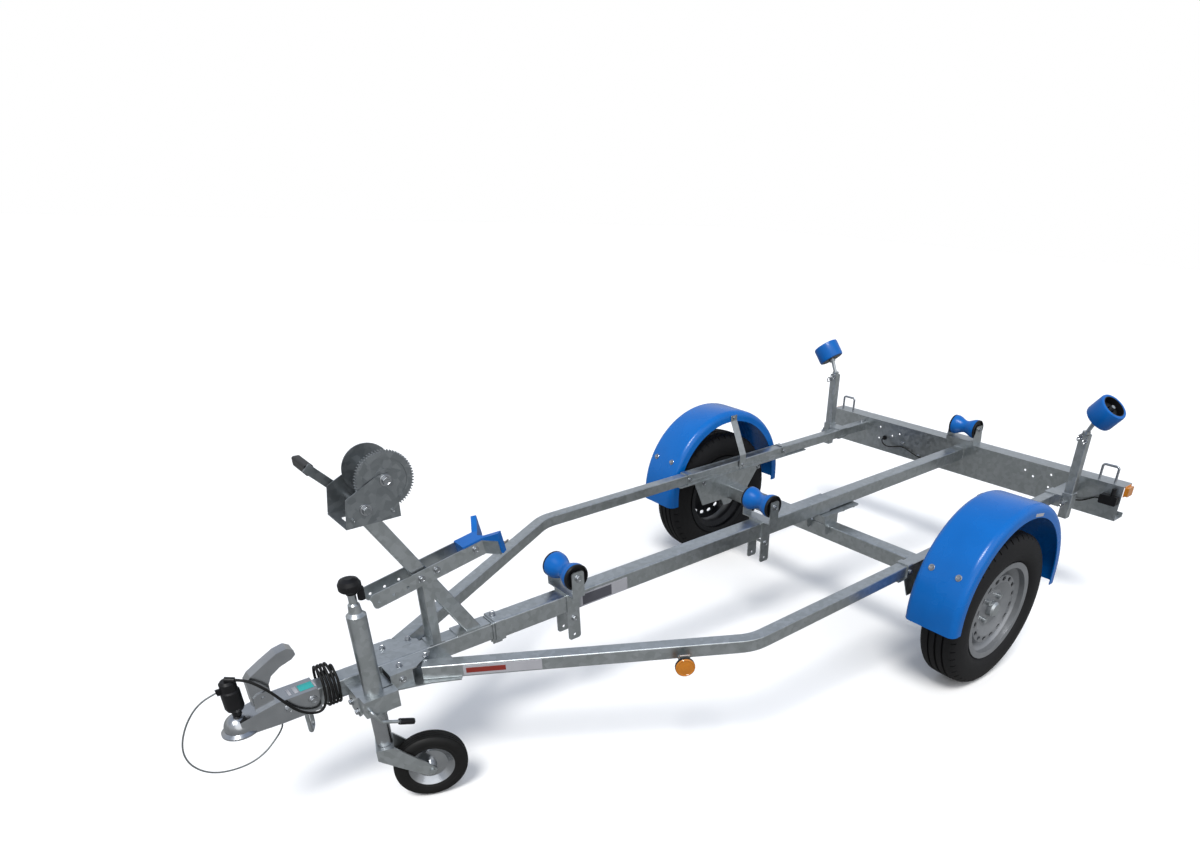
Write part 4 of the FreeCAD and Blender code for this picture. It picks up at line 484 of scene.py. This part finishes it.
def pick(piece, kind, test):
    """Enter edit mode with only the vertices, edges or faces that pass a test selected."""
    alone(piece)
    bpy.ops.object.mode_set(mode="EDIT")
    bpy.ops.mesh.select_mode(type=kind)
    bpy.ops.mesh.select_all(action="DESELECT")
    bpy.ops.object.mode_set(mode="OBJECT")
    items = {"VERT": piece.data.vertices, "EDGE": piece.data.edges, "FACE": piece.data.polygons}[kind]
    chosen = [item for item in items if test(item)]
    for item in chosen:
        item.select = True
    bpy.ops.object.mode_set(mode="EDIT")
    return len(chosen)


def copied(piece):
    """A copy with its own mesh."""
    twin = piece.copy()
    twin.data = piece.data.copy()
    bpy.context.scene.collection.objects.link(twin)
    return twin


print("round helpers ready")

# %% [markdown]
# ## Road tyres
# A trailer tyre has a narrow bead, a wall that bulges above the rim, a rounded shoulder and a tread with
# three grooves round it. The shoulder is broken by short cuts that let water out sideways. The grooves
# belong to the profile. The cuts are every other face of the shoulder, inset to a slit and pushed in. The
# left tyre is made and the right one is its copy, moved across.

# %% Tyres
TYRE_STEPS = 96
TYRE_HALF = [(0.0000, 0.2790), (0.0035, 0.2790), (0.0045, 0.2860), (0.0235, 0.2858), (0.0245, 0.2785),
             (0.0300, 0.2785), (0.0310, 0.2850), (0.0490, 0.2835), (0.0580, 0.2795), (0.0655, 0.2725),
             (0.0710, 0.2620), (0.0755, 0.2470), (0.0775, 0.2280), (0.0765, 0.2120), (0.0715, 0.1975),
             (0.0650, 0.1895), (0.0600, 0.1840), (0.0585, 0.1830), (0.0585, 0.1655), (0.0460, 0.1655),
             (0.0640, 0.2200), (0.0630, 0.2500), (0.0500, 0.2650), (0.0000, 0.2690)]
wheel_middle = Vector((0.0, WHEEL_Y, WHEEL_R))
profile = TYRE_HALF + [(-a, r) for a, r in reversed(TYRE_HALF[:-1])]
tyre = turned(wheel_middle, (0, 1, 0), (0, 0, 1), profile, TYRE_STEPS)


def on_shoulder(face):
    """True for every other face in the ring between tread and wall."""
    place = tyre.matrix_world @ face.center - wheel_middle
    radius = math.hypot(place.x, place.z)
    step = int((math.atan2(place.z, place.x) + math.pi) / (2 * math.pi) * TYRE_STEPS)
    return 0.264 < radius < 0.2835 and 0.049 < abs(place.y) < 0.071 and step % 2 == 0


slits = pick(tyre, "FACE", on_shoulder)
bpy.ops.mesh.inset(thickness=0.0062, depth=0.0)
bpy.ops.mesh.extrude_region_shrink_fatten(TRANSFORM_OT_shrink_fatten={"value": -0.0035})
bpy.ops.object.mode_set(mode="OBJECT")
tyre_right = copied(tyre)
tyre_right.location.y -= 2 * WHEEL_Y
for side, piece in (("left", tyre), ("right", tyre_right)):
    park(piece, "tread_" + side, "wheel_" + side, "tyre", 28.0)
    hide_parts("tyre_" + side)
print("tyre faces", len(tyre.data.polygons), "slit faces", slits)

# %% [markdown]
# The jockey wheel's tyre is a plain ring of solid rubber with five fine grooves round its tread.

# %% Jockey tyre
jockey_middle = level_place("jockey_wheel_spin")
jockey_axis = level_axis("jockey_wheel_spin")
JOCKEY_TREAD = [(0.0, 0.0975), (0.0012, 0.0975), (0.0020, 0.1000), (0.0060, 0.0998), (0.0068, 0.0972),
                (0.0092, 0.0972), (0.0100, 0.0994), (0.0140, 0.0988), (0.0148, 0.0962), (0.0170, 0.0960),
                (0.0180, 0.0978)]
JOCKEY_WALL = [(0.0225, 0.0940), (0.0252, 0.0885), (0.0260, 0.0820), (0.0256, 0.0765), (0.0240, 0.0720),
               (0.0246, 0.0690), (0.0215, 0.0622)]
half = JOCKEY_TREAD + JOCKEY_WALL
profile = half + [(-a, r) for a, r in reversed(half)] + [half[0]]
jockey_tread = turned(jockey_middle, jockey_axis, (0, 0, 1), profile, 72)
park(jockey_tread, "jockey_tread", "jockey_wheel", "black_rubber", 28.0)
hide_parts("jockey_tyre")
print("jockey tread faces", len(jockey_tread.data.polygons))

# %% [markdown]
# ## Keel rollers
# A keel roller is moulded rubber on a plastic core: a blue hourglass between two black end plates. Each end
# is hollowed round its hub, where the pin comes out with a zinc washer. The blue and the black are made as
# two turned pieces, each once, and copied to the three brackets.

# %% Keel rollers
ROLLER_HALF, ROLLER_OUT, ROLLER_WAIST, PIN_OUT = 0.064, 0.042, 0.027, 0.0073
PLATE_IN = ROLLER_HALF - 0.0085
BAND_IN = ROLLER_HALF - 0.014


def waist_radius(along):
    """Radius of the blue rubber: a hollow curve between the two end bands."""
    share = min(abs(along) / BAND_IN, 1.0)
    return ROLLER_WAIST + (ROLLER_OUT - ROLLER_WAIST) * share * share * (3 - 2 * share)


blue = [(i / 10 * BAND_IN, waist_radius(i / 10 * BAND_IN)) for i in range(11)]
blue += [(PLATE_IN - 0.001, ROLLER_OUT), (PLATE_IN, ROLLER_OUT - 0.001), (PLATE_IN, PIN_OUT)]
blue = [(-a, r) for a, r in reversed(blue[1:])] + blue
black_end = [(PLATE_IN + 0.0001, PIN_OUT), (PLATE_IN + 0.0001, ROLLER_OUT - 0.0005),
             (ROLLER_HALF - 0.0025, ROLLER_OUT), (ROLLER_HALF, ROLLER_OUT - 0.0022),
             (ROLLER_HALF, ROLLER_OUT - 0.0060), (ROLLER_HALF - 0.0060, 0.0335),
             (ROLLER_HALF - 0.0060, 0.0160), (ROLLER_HALF - 0.0010, 0.0145), (ROLLER_HALF - 0.0010, PIN_OUT)]
black_end.append(black_end[0])
core = turned((0, 0, 0), (0, 1, 0), (0, 0, 1), blue + [blue[0]], 48)
plates = [turned((0, 0, 0), axis, (0, 0, 1), black_end, 48) for axis in ((0, 1, 0), (0, -1, 0))]
plates = join(plates, "roller_plates")
KEEL_ROLLERS = ["keel_roller_" + where for where in ("front", "middle", "rear")]
for body in KEEL_ROLLERS:
    place = level_place(body + "_spin")
    rubber, ends = copied(core), copied(plates)
    rubber.location = rubber.location + place
    ends.location = ends.location + place
    park(rubber, body + "_rubber", body, "blue_rubber")
    park(ends, body + "_ends", body, "black_plastic")
    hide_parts(body)
for pattern in (core, plates):
    bpy.data.objects.remove(pattern)
print("keel rollers", [round(level_place(body + "_spin").x, 3) for body in KEEL_ROLLERS])

# %% [markdown]
# ## Side rollers
# The rollers on the side posts carry the boat's bottom. They are wide blue barrels that are open at the
# outer end, where the pin and its washer show in a black core, and closed by a black plate below.

# %% Side rollers
SIDE_HALF, SIDE_OUT = 0.038, 0.058
barrel = [(-SIDE_HALF + 0.004, 0.0085), (-SIDE_HALF + 0.004, SIDE_OUT - 0.008),
          (-SIDE_HALF, SIDE_OUT - 0.007), (-SIDE_HALF + 0.002, SIDE_OUT - 0.002),
          (-SIDE_HALF + 0.008, SIDE_OUT), (SIDE_HALF - 0.008, SIDE_OUT),
          (SIDE_HALF - 0.002, SIDE_OUT - 0.002), (SIDE_HALF, SIDE_OUT - 0.007),
          (SIDE_HALF - 0.001, SIDE_OUT - 0.012), (SIDE_HALF - 0.029, SIDE_OUT - 0.014),
          (SIDE_HALF - 0.029, 0.0085)]
lower_plate = [(-SIDE_HALF + 0.0036, 0.0170), (-SIDE_HALF + 0.0036, SIDE_OUT - 0.0085),
               (-SIDE_HALF - 0.0004, 0.0480), (-SIDE_HALF - 0.0004, 0.0170)]
cup = [(SIDE_HALF - 0.0285, 0.0140), (SIDE_HALF - 0.0285, SIDE_OUT - 0.0145),
       (SIDE_HALF - 0.0010, SIDE_OUT - 0.0125), (SIDE_HALF - 0.0014, SIDE_OUT - 0.0150),
       (SIDE_HALF - 0.0265, SIDE_OUT - 0.0165), (SIDE_HALF - 0.0265, 0.0300),
       (SIDE_HALF - 0.0180, 0.0280), (SIDE_HALF - 0.0180, 0.0140)]
for side in ("left", "right"):
    body = "side_roller_" + side
    place, axis = level_place(body + "_spin"), level_axis(body + "_spin")
    out = axis.cross(Vector((1, 0, 0))).normalized()
    rubber = turned(place, axis, out, barrel + [barrel[0]], 56)
    inside = join([turned(place, axis, out, ring + [ring[0]], 56) for ring in (lower_plate, cup)], "cup")
    park(rubber, body + "_rubber", body, "blue_rubber")
    park(inside, body + "_core", body, "black_plastic")
    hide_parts(body)
print("side rollers at", [round(v, 3) for v in level_place("side_roller_left_spin")])

# %% [markdown]
# ## Mudguards and their stays
# A plastic mudguard is vacuum-formed: one sheet, arched over the wheel, with both long edges turned down
# round a soft corner so that the thin sheet stays stiff. The section is drawn once as a line and spun over
# half a turn about the arch's axis; the ends are pulled down as straight skirts, and Solidify gives the
# sheet its thickness. The stay is a steel strap that stands on the rail's saddle and leans out to the
# guard's inner edge.

# %% Mudguards
GUARD_MIDDLE, GUARD_HALF, GUARD_OUT_R, EDGE_ROUND, SHEET = 0.702, 0.0972, 0.3418, 0.026, 0.004
ARCH_HEIGHT = 0.342
LIP_DROP = 0.044                           # how far the turned-down edge ends below the crown
FRONT_SKIRT, REAR_SKIRT = 0.027, 0.042


def edge_arc(side):
    """Points of the soft corner between crown and turned-down edge."""
    middle = GUARD_HALF - EDGE_ROUND
    turn_steps = [math.radians(a) for a in (0, 18, 36, 54, 72, 90)]
    arc = [(side * (middle + EDGE_ROUND * math.cos(a)), GUARD_OUT_R - EDGE_ROUND * (1 - math.sin(a)))
           for a in turn_steps]
    return [(side * GUARD_HALF, GUARD_OUT_R - LIP_DROP)] + arc


section = edge_arc(-1) + edge_arc(1)[::-1]
guard = turned((0.0, GUARD_MIDDLE, ARCH_HEIGHT), (0, 1, 0), (1, 0, 0), section, 40, math.pi)


def at_arch_end(vertex, forward):
    """True for a vertex of the arch's front or rear end."""
    place = guard.matrix_world @ guard.data.vertices[vertex].co
    return abs(place.z - ARCH_HEIGHT) < 1e-4 and (place.x > 0) == forward


for forward, skirt in ((True, FRONT_SKIRT), (False, REAR_SKIRT)):
    pick(guard, "EDGE", lambda e: all(at_arch_end(v, forward) for v in e.vertices))
    bpy.ops.mesh.extrude_region_move(TRANSFORM_OT_translate={"value": (0.0, 0.0, -skirt)})
    bpy.ops.object.mode_set(mode="OBJECT")
pick(guard, "FACE", lambda f: True)
bpy.ops.mesh.normals_make_consistent(inside=False)
bpy.ops.object.mode_set(mode="OBJECT")
crown = max(guard.data.polygons, key=lambda f: (guard.matrix_world @ f.center).z)
if crown.normal.z < 0:
    pick(guard, "FACE", lambda f: True)
    bpy.ops.mesh.flip_normals()
    bpy.ops.object.mode_set(mode="OBJECT")
alone(guard)
sheet = guard.modifiers.new("sheet", "SOLIDIFY")
sheet.thickness = SHEET
sheet.offset = -1.0
bpy.ops.object.modifier_apply(modifier="sheet")
guard_right = copied(guard)
guard_right.location.y -= 2 * GUARD_MIDDLE
for side, piece in (("left", guard), ("right", guard_right)):
    park(piece, "guard_" + side, "chassis", "blue_plastic", 40.0)
    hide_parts("mudguard_" + side)
print("guard faces", len(guard.data.polygons))


# %% Mudguard stays
def strap(place, wide, thick, steps, wear=0.0008):
    """Steel strap: a small rectangle pulled along a list of moves, its edges worn."""
    bpy.ops.object.select_all(action="DESELECT")
    bpy.ops.mesh.primitive_plane_add(size=1.0, location=place)
    piece = bpy.context.active_object
    piece.scale = (wide, thick, 1.0)
    bpy.ops.object.transform_apply(location=False, rotation=False, scale=True)
    bpy.ops.object.mode_set(mode="EDIT")
    bpy.ops.mesh.select_mode(type="FACE")
    bpy.ops.mesh.select_all(action="SELECT")
    for move in steps:
        bpy.ops.mesh.extrude_region_move(TRANSFORM_OT_translate={"value": move})
    bpy.ops.mesh.select_all(action="SELECT")
    bpy.ops.mesh.normals_make_consistent(inside=False)
    bpy.ops.mesh.bevel(offset=wear, segments=1)
    bpy.ops.object.mode_set(mode="OBJECT")
    return piece


stays = [strap((-0.012, side * 0.5264, 0.4485), 0.036, 0.004,
               [(0, 0, 0.060), (-0.008, side * 0.0745, 0.135), (0, 0, 0.024)]) for side in (1, -1)]
stays = join(stays, "stays")
park(stays, "guard_stays", "chassis", "galvanised")
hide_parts("mudguard_stays")
print("stay faces", len(stays.data.polygons))

# %% [markdown]
# ## Bolts
# Nearly every joint of such a trailer is bolted, so that it can be set to the boat. One zinc bolt head with
# its washer is modelled: a washer turned from four points, and a six-sided head whose upper edge is
# bevelled and whose top is inset to a shallow cup. All the others are copies, set on their seats by a table
# of place and direction, and joined into one piece for each thing that carries them.

# %% One bolt head
HEAD_R = 0.0085
WASHER = [(0.0, 0.0), (0.0, 0.0112), (0.0014, 0.0118), (0.0020, 0.0110), (0.0020, 0.0)]
washer = turned((0, 0, 0), (0, 0, 1), (1, 0, 0), WASHER, 20)
bpy.ops.mesh.primitive_cylinder_add(vertices=6, radius=HEAD_R, depth=0.0062, location=(0.0, 0.0, 0.0050))
head = bpy.context.active_object
pick(head, "FACE", lambda f: f.normal.z > 0.9)
bpy.ops.mesh.inset(thickness=0.0022, depth=0.0)
bpy.ops.mesh.inset(thickness=0.0008, depth=-0.0008)
bpy.ops.object.mode_set(mode="OBJECT")


def on_top_rim(vertex):
    """True for a corner of the hexagon's upper face."""
    place = head.data.vertices[vertex].co
    return place.z > 0.003 and place.xy.length > 0.008


pick(head, "EDGE", lambda e: all(on_top_rim(v) for v in e.vertices))
bpy.ops.mesh.bevel(offset=0.0010, segments=2)
bpy.ops.object.mode_set(mode="OBJECT")
bolt = join([head, washer], "bolt_pattern")
alone(bolt)
bpy.ops.object.transform_apply(location=True, rotation=True, scale=True)


def set_bolts(name, body, seats, size=1.0, slot="zinc"):
    """Copies of the bolt on their seats, each seat a place and the direction that its head faces."""
    heads = []
    for place, facing in seats:
        copy = copied(bolt)
        copy.scale = (size, size, size)
        copy.location = place
        copy.rotation_euler = toward(facing)
        heads.append(copy)
    bpy.context.view_layer.update()
    return park(join(heads, name), name, body, slot, 30.0)


def mirrored_seats(seats):
    """The same seats on both sides of the trailer."""
    return seats + [((x, -y, z), (fx, -fy, fz)) for (x, y, z), (fx, fy, fz) in seats]


print("bolt faces", len(bolt.data.polygons))

# %% Bolts of the frame
guard_tilt = (0.873, 0.0, 0.489)
seats = mirrored_seats([((0.2985, 0.652, 0.5090), guard_tilt), ((0.2985, 0.751, 0.5090), guard_tilt)])
set_bolts("guard_bolts", "chassis", seats, 0.95)
saddle = [((x, 0.5775, 0.4650), (0, 1, 0)) for x in (0.300, -0.290)]
saddle += [((x, 0.5285, 0.4650), (0, -1, 0)) for x in (0.300, -0.290)]
set_bolts("saddle_bolts", "chassis", mirrored_seats(saddle), 0.8)
plate = [((0.215, 0.5310, 0.428), (0, -1, 0)), ((-0.120, 0.5310, 0.428), (0, -1, 0))]
set_bolts("axle_plate_bolts", "chassis", mirrored_seats(plate), 0.85)
stay_bolts = [((-0.020, 0.5990, 0.6560), (0, -1, 0)), ((-0.012, 0.5244, 0.4620), (0, -1, 0))]
set_bolts("stay_bolts", "chassis", mirrored_seats(stay_bolts), 0.75)
clamp_bolts = [((1.9890, 0.0330 + 0.012, 0.4280), (1, 0, 0)), ((1.9890, 0.0830, 0.4180), (1, 0, 0))]
set_bolts("clamp_plate_bolts", "chassis", clamp_bolts, 0.9)
channel = [((x, side * 0.0302, z), (0, side, 0)) for x, z in ((1.743, 0.701), (1.699, 0.713), (1.582, 0.737))
           for side in (1, -1)]
set_bolts("channel_bolts", "chassis", channel, 0.85)
seat_plate = [((x, y, 0.4300), (0, 0, -1)) for x in (-0.085, -0.020) for y in (-0.042, 0.042)]
set_bolts("seat_plate_bolts", "chassis", seat_plate, 0.9)
roller_places = [level_place(body + "_spin") for body in KEEL_ROLLERS]
pins = [((place.x, side * 0.0690, place.z), (0, side, 0)) for place in roller_places for side in (1, -1)]
set_bolts("roller_pin_nuts", "chassis", pins, 1.0)
ties = [((x, side * 0.0340, 0.410), (0, side, 0)) for x in (1.284, 0.423) for side in (1, -1)]
set_bolts("bracket_tie_nuts", "chassis", ties, 0.9)
print("frame bolts set")
# %% [markdown]
# ## Blocks, plates and labels
# Small plates, tabs and labels start as a cube set at its place and size; one face is inset where the real
# piece has a rim or a printed field, and all its edges are bevelled. The labels are left blank on purpose.

# %% A bevelled block
def block(place, size, wear, facing=None, rim=0.0, sink=0.0, turn_z=0.0):
    """Cube of a size with worn edges; the face that looks along facing gets an inset field."""
    bpy.ops.object.select_all(action="DESELECT")
    bpy.ops.mesh.primitive_cube_add(size=1.0, location=place, rotation=(0.0, 0.0, turn_z))
    piece = bpy.context.active_object
    piece.scale = size
    bpy.ops.object.transform_apply(location=False, rotation=False, scale=True)
    pick(piece, "EDGE", lambda e: True)
    bpy.ops.mesh.bevel(offset=wear, segments=1)
    bpy.ops.object.mode_set(mode="OBJECT")
    if facing:
        look_along = Vector(facing)
        pick(piece, "FACE", lambda f: f.normal.dot(look_along) > 0.99)
        bpy.ops.mesh.inset(thickness=rim, depth=-sink)
        bpy.ops.object.mode_set(mode="OBJECT")
    return piece


teal_label = finish("teal_label", (0.01, 0.30, 0.30), (0.02, 0.40, 0.38), (0.25, 0.35),
                    patch=30.0, bump=0.03)
red_label = finish("red_label", (0.16, 0.012, 0.008), (0.24, 0.025, 0.015), (0.3, 0.4),
                   patch=30.0, bump=0.03)
dark_label = finish("dark_label", (0.060, 0.060, 0.075), (0.085, 0.085, 0.100), (0.3, 0.4),
                    patch=30.0, bump=0.03)
print("block helper ready")

# %% Blank labels
SLEEVE_TOP, BEAM_SIDE = 0.4955, 0.030
LABEL_THICK, LABEL_WEAR = 0.0008, 0.0002
on_sleeve = SLEEVE_TOP + 0.0003
teal = block((2.0795, 0.003, on_sleeve), (0.035, 0.030, LABEL_THICK), LABEL_WEAR, (0, 0, 1), 0.0015)
park(teal, "label_teal", "chassis", "zinc", 30.0, teal_label)
pale = [block((x, 0.003, on_sleeve), (wide, 0.030, LABEL_THICK), LABEL_WEAR, (0, 0, 1), 0.0012)
        for x, wide in ((2.1210, 0.006), (2.1050, 0.009), (2.0585, 0.004))]
pale.append(block((1.1625, BEAM_SIDE + 0.0003, 0.4595), (0.185, 0.0010, 0.045), 0.0003, (0, 1, 0), 0.003))
park(join(pale, "pale"), "label_pale", "chassis", "zinc", 30.0, white_label)
dark = block((1.1900, BEAM_SIDE + 0.0008, 0.4595), (0.112, 0.0010, 0.036), 0.0003, (0, 1, 0), 0.002)
park(dark, "label_dark", "chassis", "zinc", 30.0, dark_label)
RAIL_BEND, RAIL_NOSE, RAIL_HALF = Vector((1.020, 0.553, 0.4645)), Vector((1.800, 0.079, 0.4645)), 0.0205
nose_run = (RAIL_NOSE - RAIL_BEND).normalized()
run_turn = math.atan2(nose_run.y, nose_run.x)
outward = Vector((-nose_run.y, nose_run.x, 0.0))
strip_middle = RAIL_BEND + nose_run * 0.7015 + outward * (RAIL_HALF + 0.0001)
strip = block(strip_middle, (0.210, LABEL_THICK, 0.031), LABEL_WEAR, outward, 0.002, turn_z=run_turn)
park(strip, "label_strip", "chassis", "zinc", 30.0, white_label)
band_middle = strip_middle + outward * 0.0004 + nose_run * 0.045
band = block(band_middle, (0.105, LABEL_THICK, 0.016), LABEL_WEAR, outward, 0.002, turn_z=run_turn)
park(band, "label_band", "chassis", "zinc", 30.0, red_label)
PLATE_BACK, PLATE_R = 0.060, 0.307
plate_tilt = math.asin(PLATE_BACK / PLATE_R)
guard_plate = block((0, 0, 0), (0.055, LABEL_THICK, 0.011), LABEL_WEAR, (0, 1, 0), 0.0015)
plate_height = ARCH_HEIGHT + PLATE_R * math.cos(plate_tilt)
guard_plate.location = (-PLATE_BACK, GUARD_MIDDLE + GUARD_HALF + LABEL_THICK / 2, plate_height)
guard_plate.rotation_euler = (0.0, -plate_tilt, 0.0)
park(guard_plate, "guard_plate", "chassis", "zinc", 30.0, white_label)
print("labels", len(strip.data.polygons), "faces each")

# %% [markdown]
# ## Side reflectors
# A side reflector is an amber lens in a cup, screwed to a folded steel tab under the rail. The lens is
# turned with a raised rim and a shallow dome, and the tab is two bevelled blocks, one lying and one
# hanging.

# %% Side reflectors
MARKER_FROM_BEND = 0.176                    # along x
marker_root = RAIL_BEND + nose_run * (MARKER_FROM_BEND / nose_run.x) + outward * RAIL_HALF
lens_middle = marker_root + outward * 0.026 + Vector((0, 0, -0.028))
lens_profile = [(0.0006, 0.0278), (0.0118, 0.0278), (0.0134, 0.0262), (0.0134, 0.0236), (0.0122, 0.0226),
                (0.0128, 0.0150), (0.0136, 0.0070), (0.0138, 0.0)]
lens_ring = [(0.0, 0.0281), (0.0085, 0.0283), (0.0085, 0.0268), (0.0, 0.0268), (0.0, 0.0281)]
lens = turned(lens_middle, outward, (0, 0, 1), lens_profile, 40)
backing = turned(lens_middle, outward, (0, 0, 1), lens_ring, 40)
tab = block(marker_root + outward * 0.024 + Vector((0, 0, -0.025)), (0.0308, 0.0046, 0.0628), 0.0012,
            turn_z=run_turn)
shelf = block(marker_root + outward * 0.0135 + Vector((0, 0, -0.0195)), (0.0308, 0.0272, 0.0046), 0.0012,
              turn_z=run_turn)
tab = join([tab, shelf], "tab")


def both_sides(piece):
    """The piece and its mirror image on the trailer's other side, as one."""
    alone(piece)
    bpy.ops.object.transform_apply(location=True, rotation=True, scale=True)
    twin = copied(piece)
    alone(twin)
    bpy.ops.object.mode_set(mode="EDIT")
    bpy.ops.mesh.select_all(action="SELECT")
    bpy.ops.transform.mirror(constraint_axis=(False, True, False), center_override=(0.0, 0.0, 0.0))
    bpy.ops.mesh.flip_normals()
    bpy.ops.object.mode_set(mode="OBJECT")
    return join([piece, twin], piece.name)


park(both_sides(lens), "side_lenses", "chassis", "amber_lens", 30.0)
park(both_sides(backing), "side_lens_cups", "chassis", "black_plastic", 30.0)
park(both_sides(tab), "side_lens_tabs", "chassis", "galvanised", 30.0)
print("reflectors at", [round(v, 3) for v in lens_middle])

# %% [markdown]
# ## Grips, caps and the winch
# The jockey clamp's handle ends in a black grip, and the jockey cap has ribs round its rim for a wet hand.
# Nuts hold the drum's axle and the pinion's shaft, and more bolts hold the plates at the drawbar's nose.

# %% Clamp grip
grip_line = Vector((-0.048, 0.0, -0.022)).normalized()
grip_end = Vector((1.911, 0.154, 0.3895))
grip_rings = [(-0.0045, 0.0046), (-0.0045, 0.0076), (-0.0020, 0.0086), (0.0300, 0.0086), (0.0360, 0.0084),
              (0.0386, 0.0066), (0.0388, 0.0)]
clamp_grip = turned(grip_end, grip_line, (0, 1, 0), grip_rings, 28)
park(clamp_grip, "clamp_grip", "chassis", "black_plastic", 30.0)

# %% Jockey cap ribs
CAP_MIDDLE = Vector((1.946, 0.100, 0.779))
ribs = []
for i in range(24):
    swing = 2 * math.pi * i / 24
    rim_point = CAP_MIDDLE + Vector((0.0266 * math.cos(swing), 0.0266 * math.sin(swing), 0.0))
    ribs.append(block(rim_point, (0.0012, 0.0032, 0.0120), 0.0004, turn_z=swing))
park(join(ribs, "ribs"), "jockey_cap_ribs", "chassis", "black_plastic", 30.0)
print("ribs", len(ribs))

# %% Winch nuts and other bright fasteners
winch_seats = [((1.806, 0.0762, 1.002), (0, 1, 0)), ((1.806, -0.0462, 1.002), (0, -1, 0))]
set_bolts("winch_axle_nuts", "chassis", winch_seats, 1.25)
plate_seats = [((1.802, 0.0762, 0.926), (0, 1, 0)), ((1.898, 0.0762, 0.926), (0, 1, 0))]
set_bolts("winch_plate_rivets", "chassis", plate_seats, 0.5, "winch_grey")
set_bolts("pinion_nut", "winch_crank", [((1.8649, 0.0772, 0.9431), (0, 1, 0))], 1.2)
post_face = [(-0.7046, side * y, z) for side in (1, -1) for y, z in ((0.605, 0.729), (0.627, 0.716))]
post_tops = [(place, (1, 0, 0)) for place in post_face]
set_bolts("post_top_screws", "chassis", post_tops, 0.8)


def loop_handle(place, facing):
    """A bent-wire loop behind a screw, for fingers: a small round section spun about the loop's middle."""
    wire_r, loop_r = 0.0022, 0.0105
    corners = [2 * math.pi * k / 8 for k in range(9)]
    ring = [(wire_r * math.sin(c), loop_r + wire_r * math.cos(c)) for c in corners]
    axis = Vector(facing).cross(Vector((0, 0, 1)))
    middle = Vector(place) + Vector(facing) * (0.0062 + loop_r)
    return turned(middle, axis, facing, ring, 24)


loops = [loop_handle(place, (1, 0, 0)) for place in post_face]
park(join(loops, "loops"), "post_top_loops", "chassis", "zinc", 40.0)
foot_seats = [((-0.6740, side * 0.616, 0.4645), (1, 0, 0)) for side in (1, -1)]
set_bolts("post_foot_nuts", "chassis", foot_seats, 0.9)
beam_end = [((-0.895, side * 0.553, 0.4852), (0, 0, 1)) for side in (1, -1)]
set_bolts("rail_end_bolts", "chassis", beam_end, 0.9)
collar_seats = [((1.538, -0.010, 0.4982), (0, 0, 1))]
set_bolts("collar_bolt", "chassis", collar_seats, 0.9)
sleeve_seats = [((x, side * 0.0316, 0.468), (0, side, 0)) for x in (2.075, 2.135) for side in (1, -1)]
set_bolts("sleeve_bolts", "chassis", sleeve_seats, 0.95)
nose_seats = [((1.854, 0.055, 0.4892), (0, 0, 1)), ((1.780, 0.055, 0.4892), (0, 0, 1)),
              ((1.862, 0.0892, 0.4660), (0, 1, 0))]
set_bolts("nose_bolts", "chassis", mirrored_seats(nose_seats), 0.8)
print("bright fasteners set")

# %% Clips on the tail lead
clips = [block((-0.9090, y, z), (0.006, 0.016, 0.010), 0.0015, (1, 0, 0), 0.002, 0.001)
         for y, z in ((-0.303, 0.433), (-0.208, 0.391))]
park(join(clips, "clips"), "lead_clips", "chassis", "zinc", 30.0)
print("clips", len(clips))

# %% [markdown]
# ## Welds
# A weld is a bead that froze in small overlapping ripples. It is made by extruding a ring again and again
# along the seam and scaling every second ring a little, so that the ripples are real relief that catches
# the light.

# %% Weld beads
def weld(start, end, size=0.0032):
    """Rippled bead between two points."""
    start, end = Vector(start), Vector(end)
    along = (end - start).normalized()
    steps = max(2, round((end - start).length / (size * 0.9)))
    bpy.ops.object.select_all(action="DESELECT")
    bpy.ops.mesh.primitive_circle_add(vertices=8, radius=size, fill_type="NGON", location=start,
                                      rotation=toward(along))
    bead = bpy.context.active_object
    bpy.ops.object.mode_set(mode="EDIT")
    bpy.ops.mesh.select_all(action="SELECT")
    ripple = along * ((end - start).length / steps)
    for i in range(steps):
        bpy.ops.mesh.extrude_region_move(TRANSFORM_OT_translate={"value": ripple})
        grow = 0.80 if i % 2 == 0 else 1.25
        bpy.ops.transform.resize(value=(grow, grow, grow))
    bpy.ops.object.mode_set(mode="OBJECT")
    return bead


FOOT_REAR, FOOT_FRONT, DRAWBAR_TOP, FOOT_HALF = 1.5925, 1.6320, 0.4905, 0.0205
CROSS_FACE = -0.912
seams = [((FOOT_REAR, side * FOOT_HALF, DRAWBAR_TOP), (FOOT_FRONT, side * FOOT_HALF, DRAWBAR_TOP))
         for side in (1, -1)]
seams += [((x, -0.020, DRAWBAR_TOP), (x, 0.020, DRAWBAR_TOP)) for x in (FOOT_REAR, FOOT_FRONT)]
seams += [((CROSS_FACE, side * 0.0265, 0.440), (CROSS_FACE, side * 0.0265, 0.488)) for side in (1, -1)]
seams += [((CROSS_FACE, -0.025, DRAWBAR_TOP), (CROSS_FACE, 0.025, DRAWBAR_TOP))]
seams += [((0.0500, -0.028, 0.4915), (0.0500, 0.028, 0.4915))]
seams += [((0.0070, side * 0.5308, 0.3805), (0.0630, side * 0.5308, 0.3805)) for side in (1, -1)]
beads = [weld(*seam) for seam in seams]
park(join(beads, "welds"), "weld_beads", "chassis", "galvanised", 40.0)
print("weld seams", len(beads))

# %% [markdown]
# ## The end
# The bolt that all the heads were copied from has done its work and is taken away.

# %% Remove the pattern
bpy.data.objects.remove(bolt)
print("pattern removed")

# %% End
bpy.context.view_layer.update()
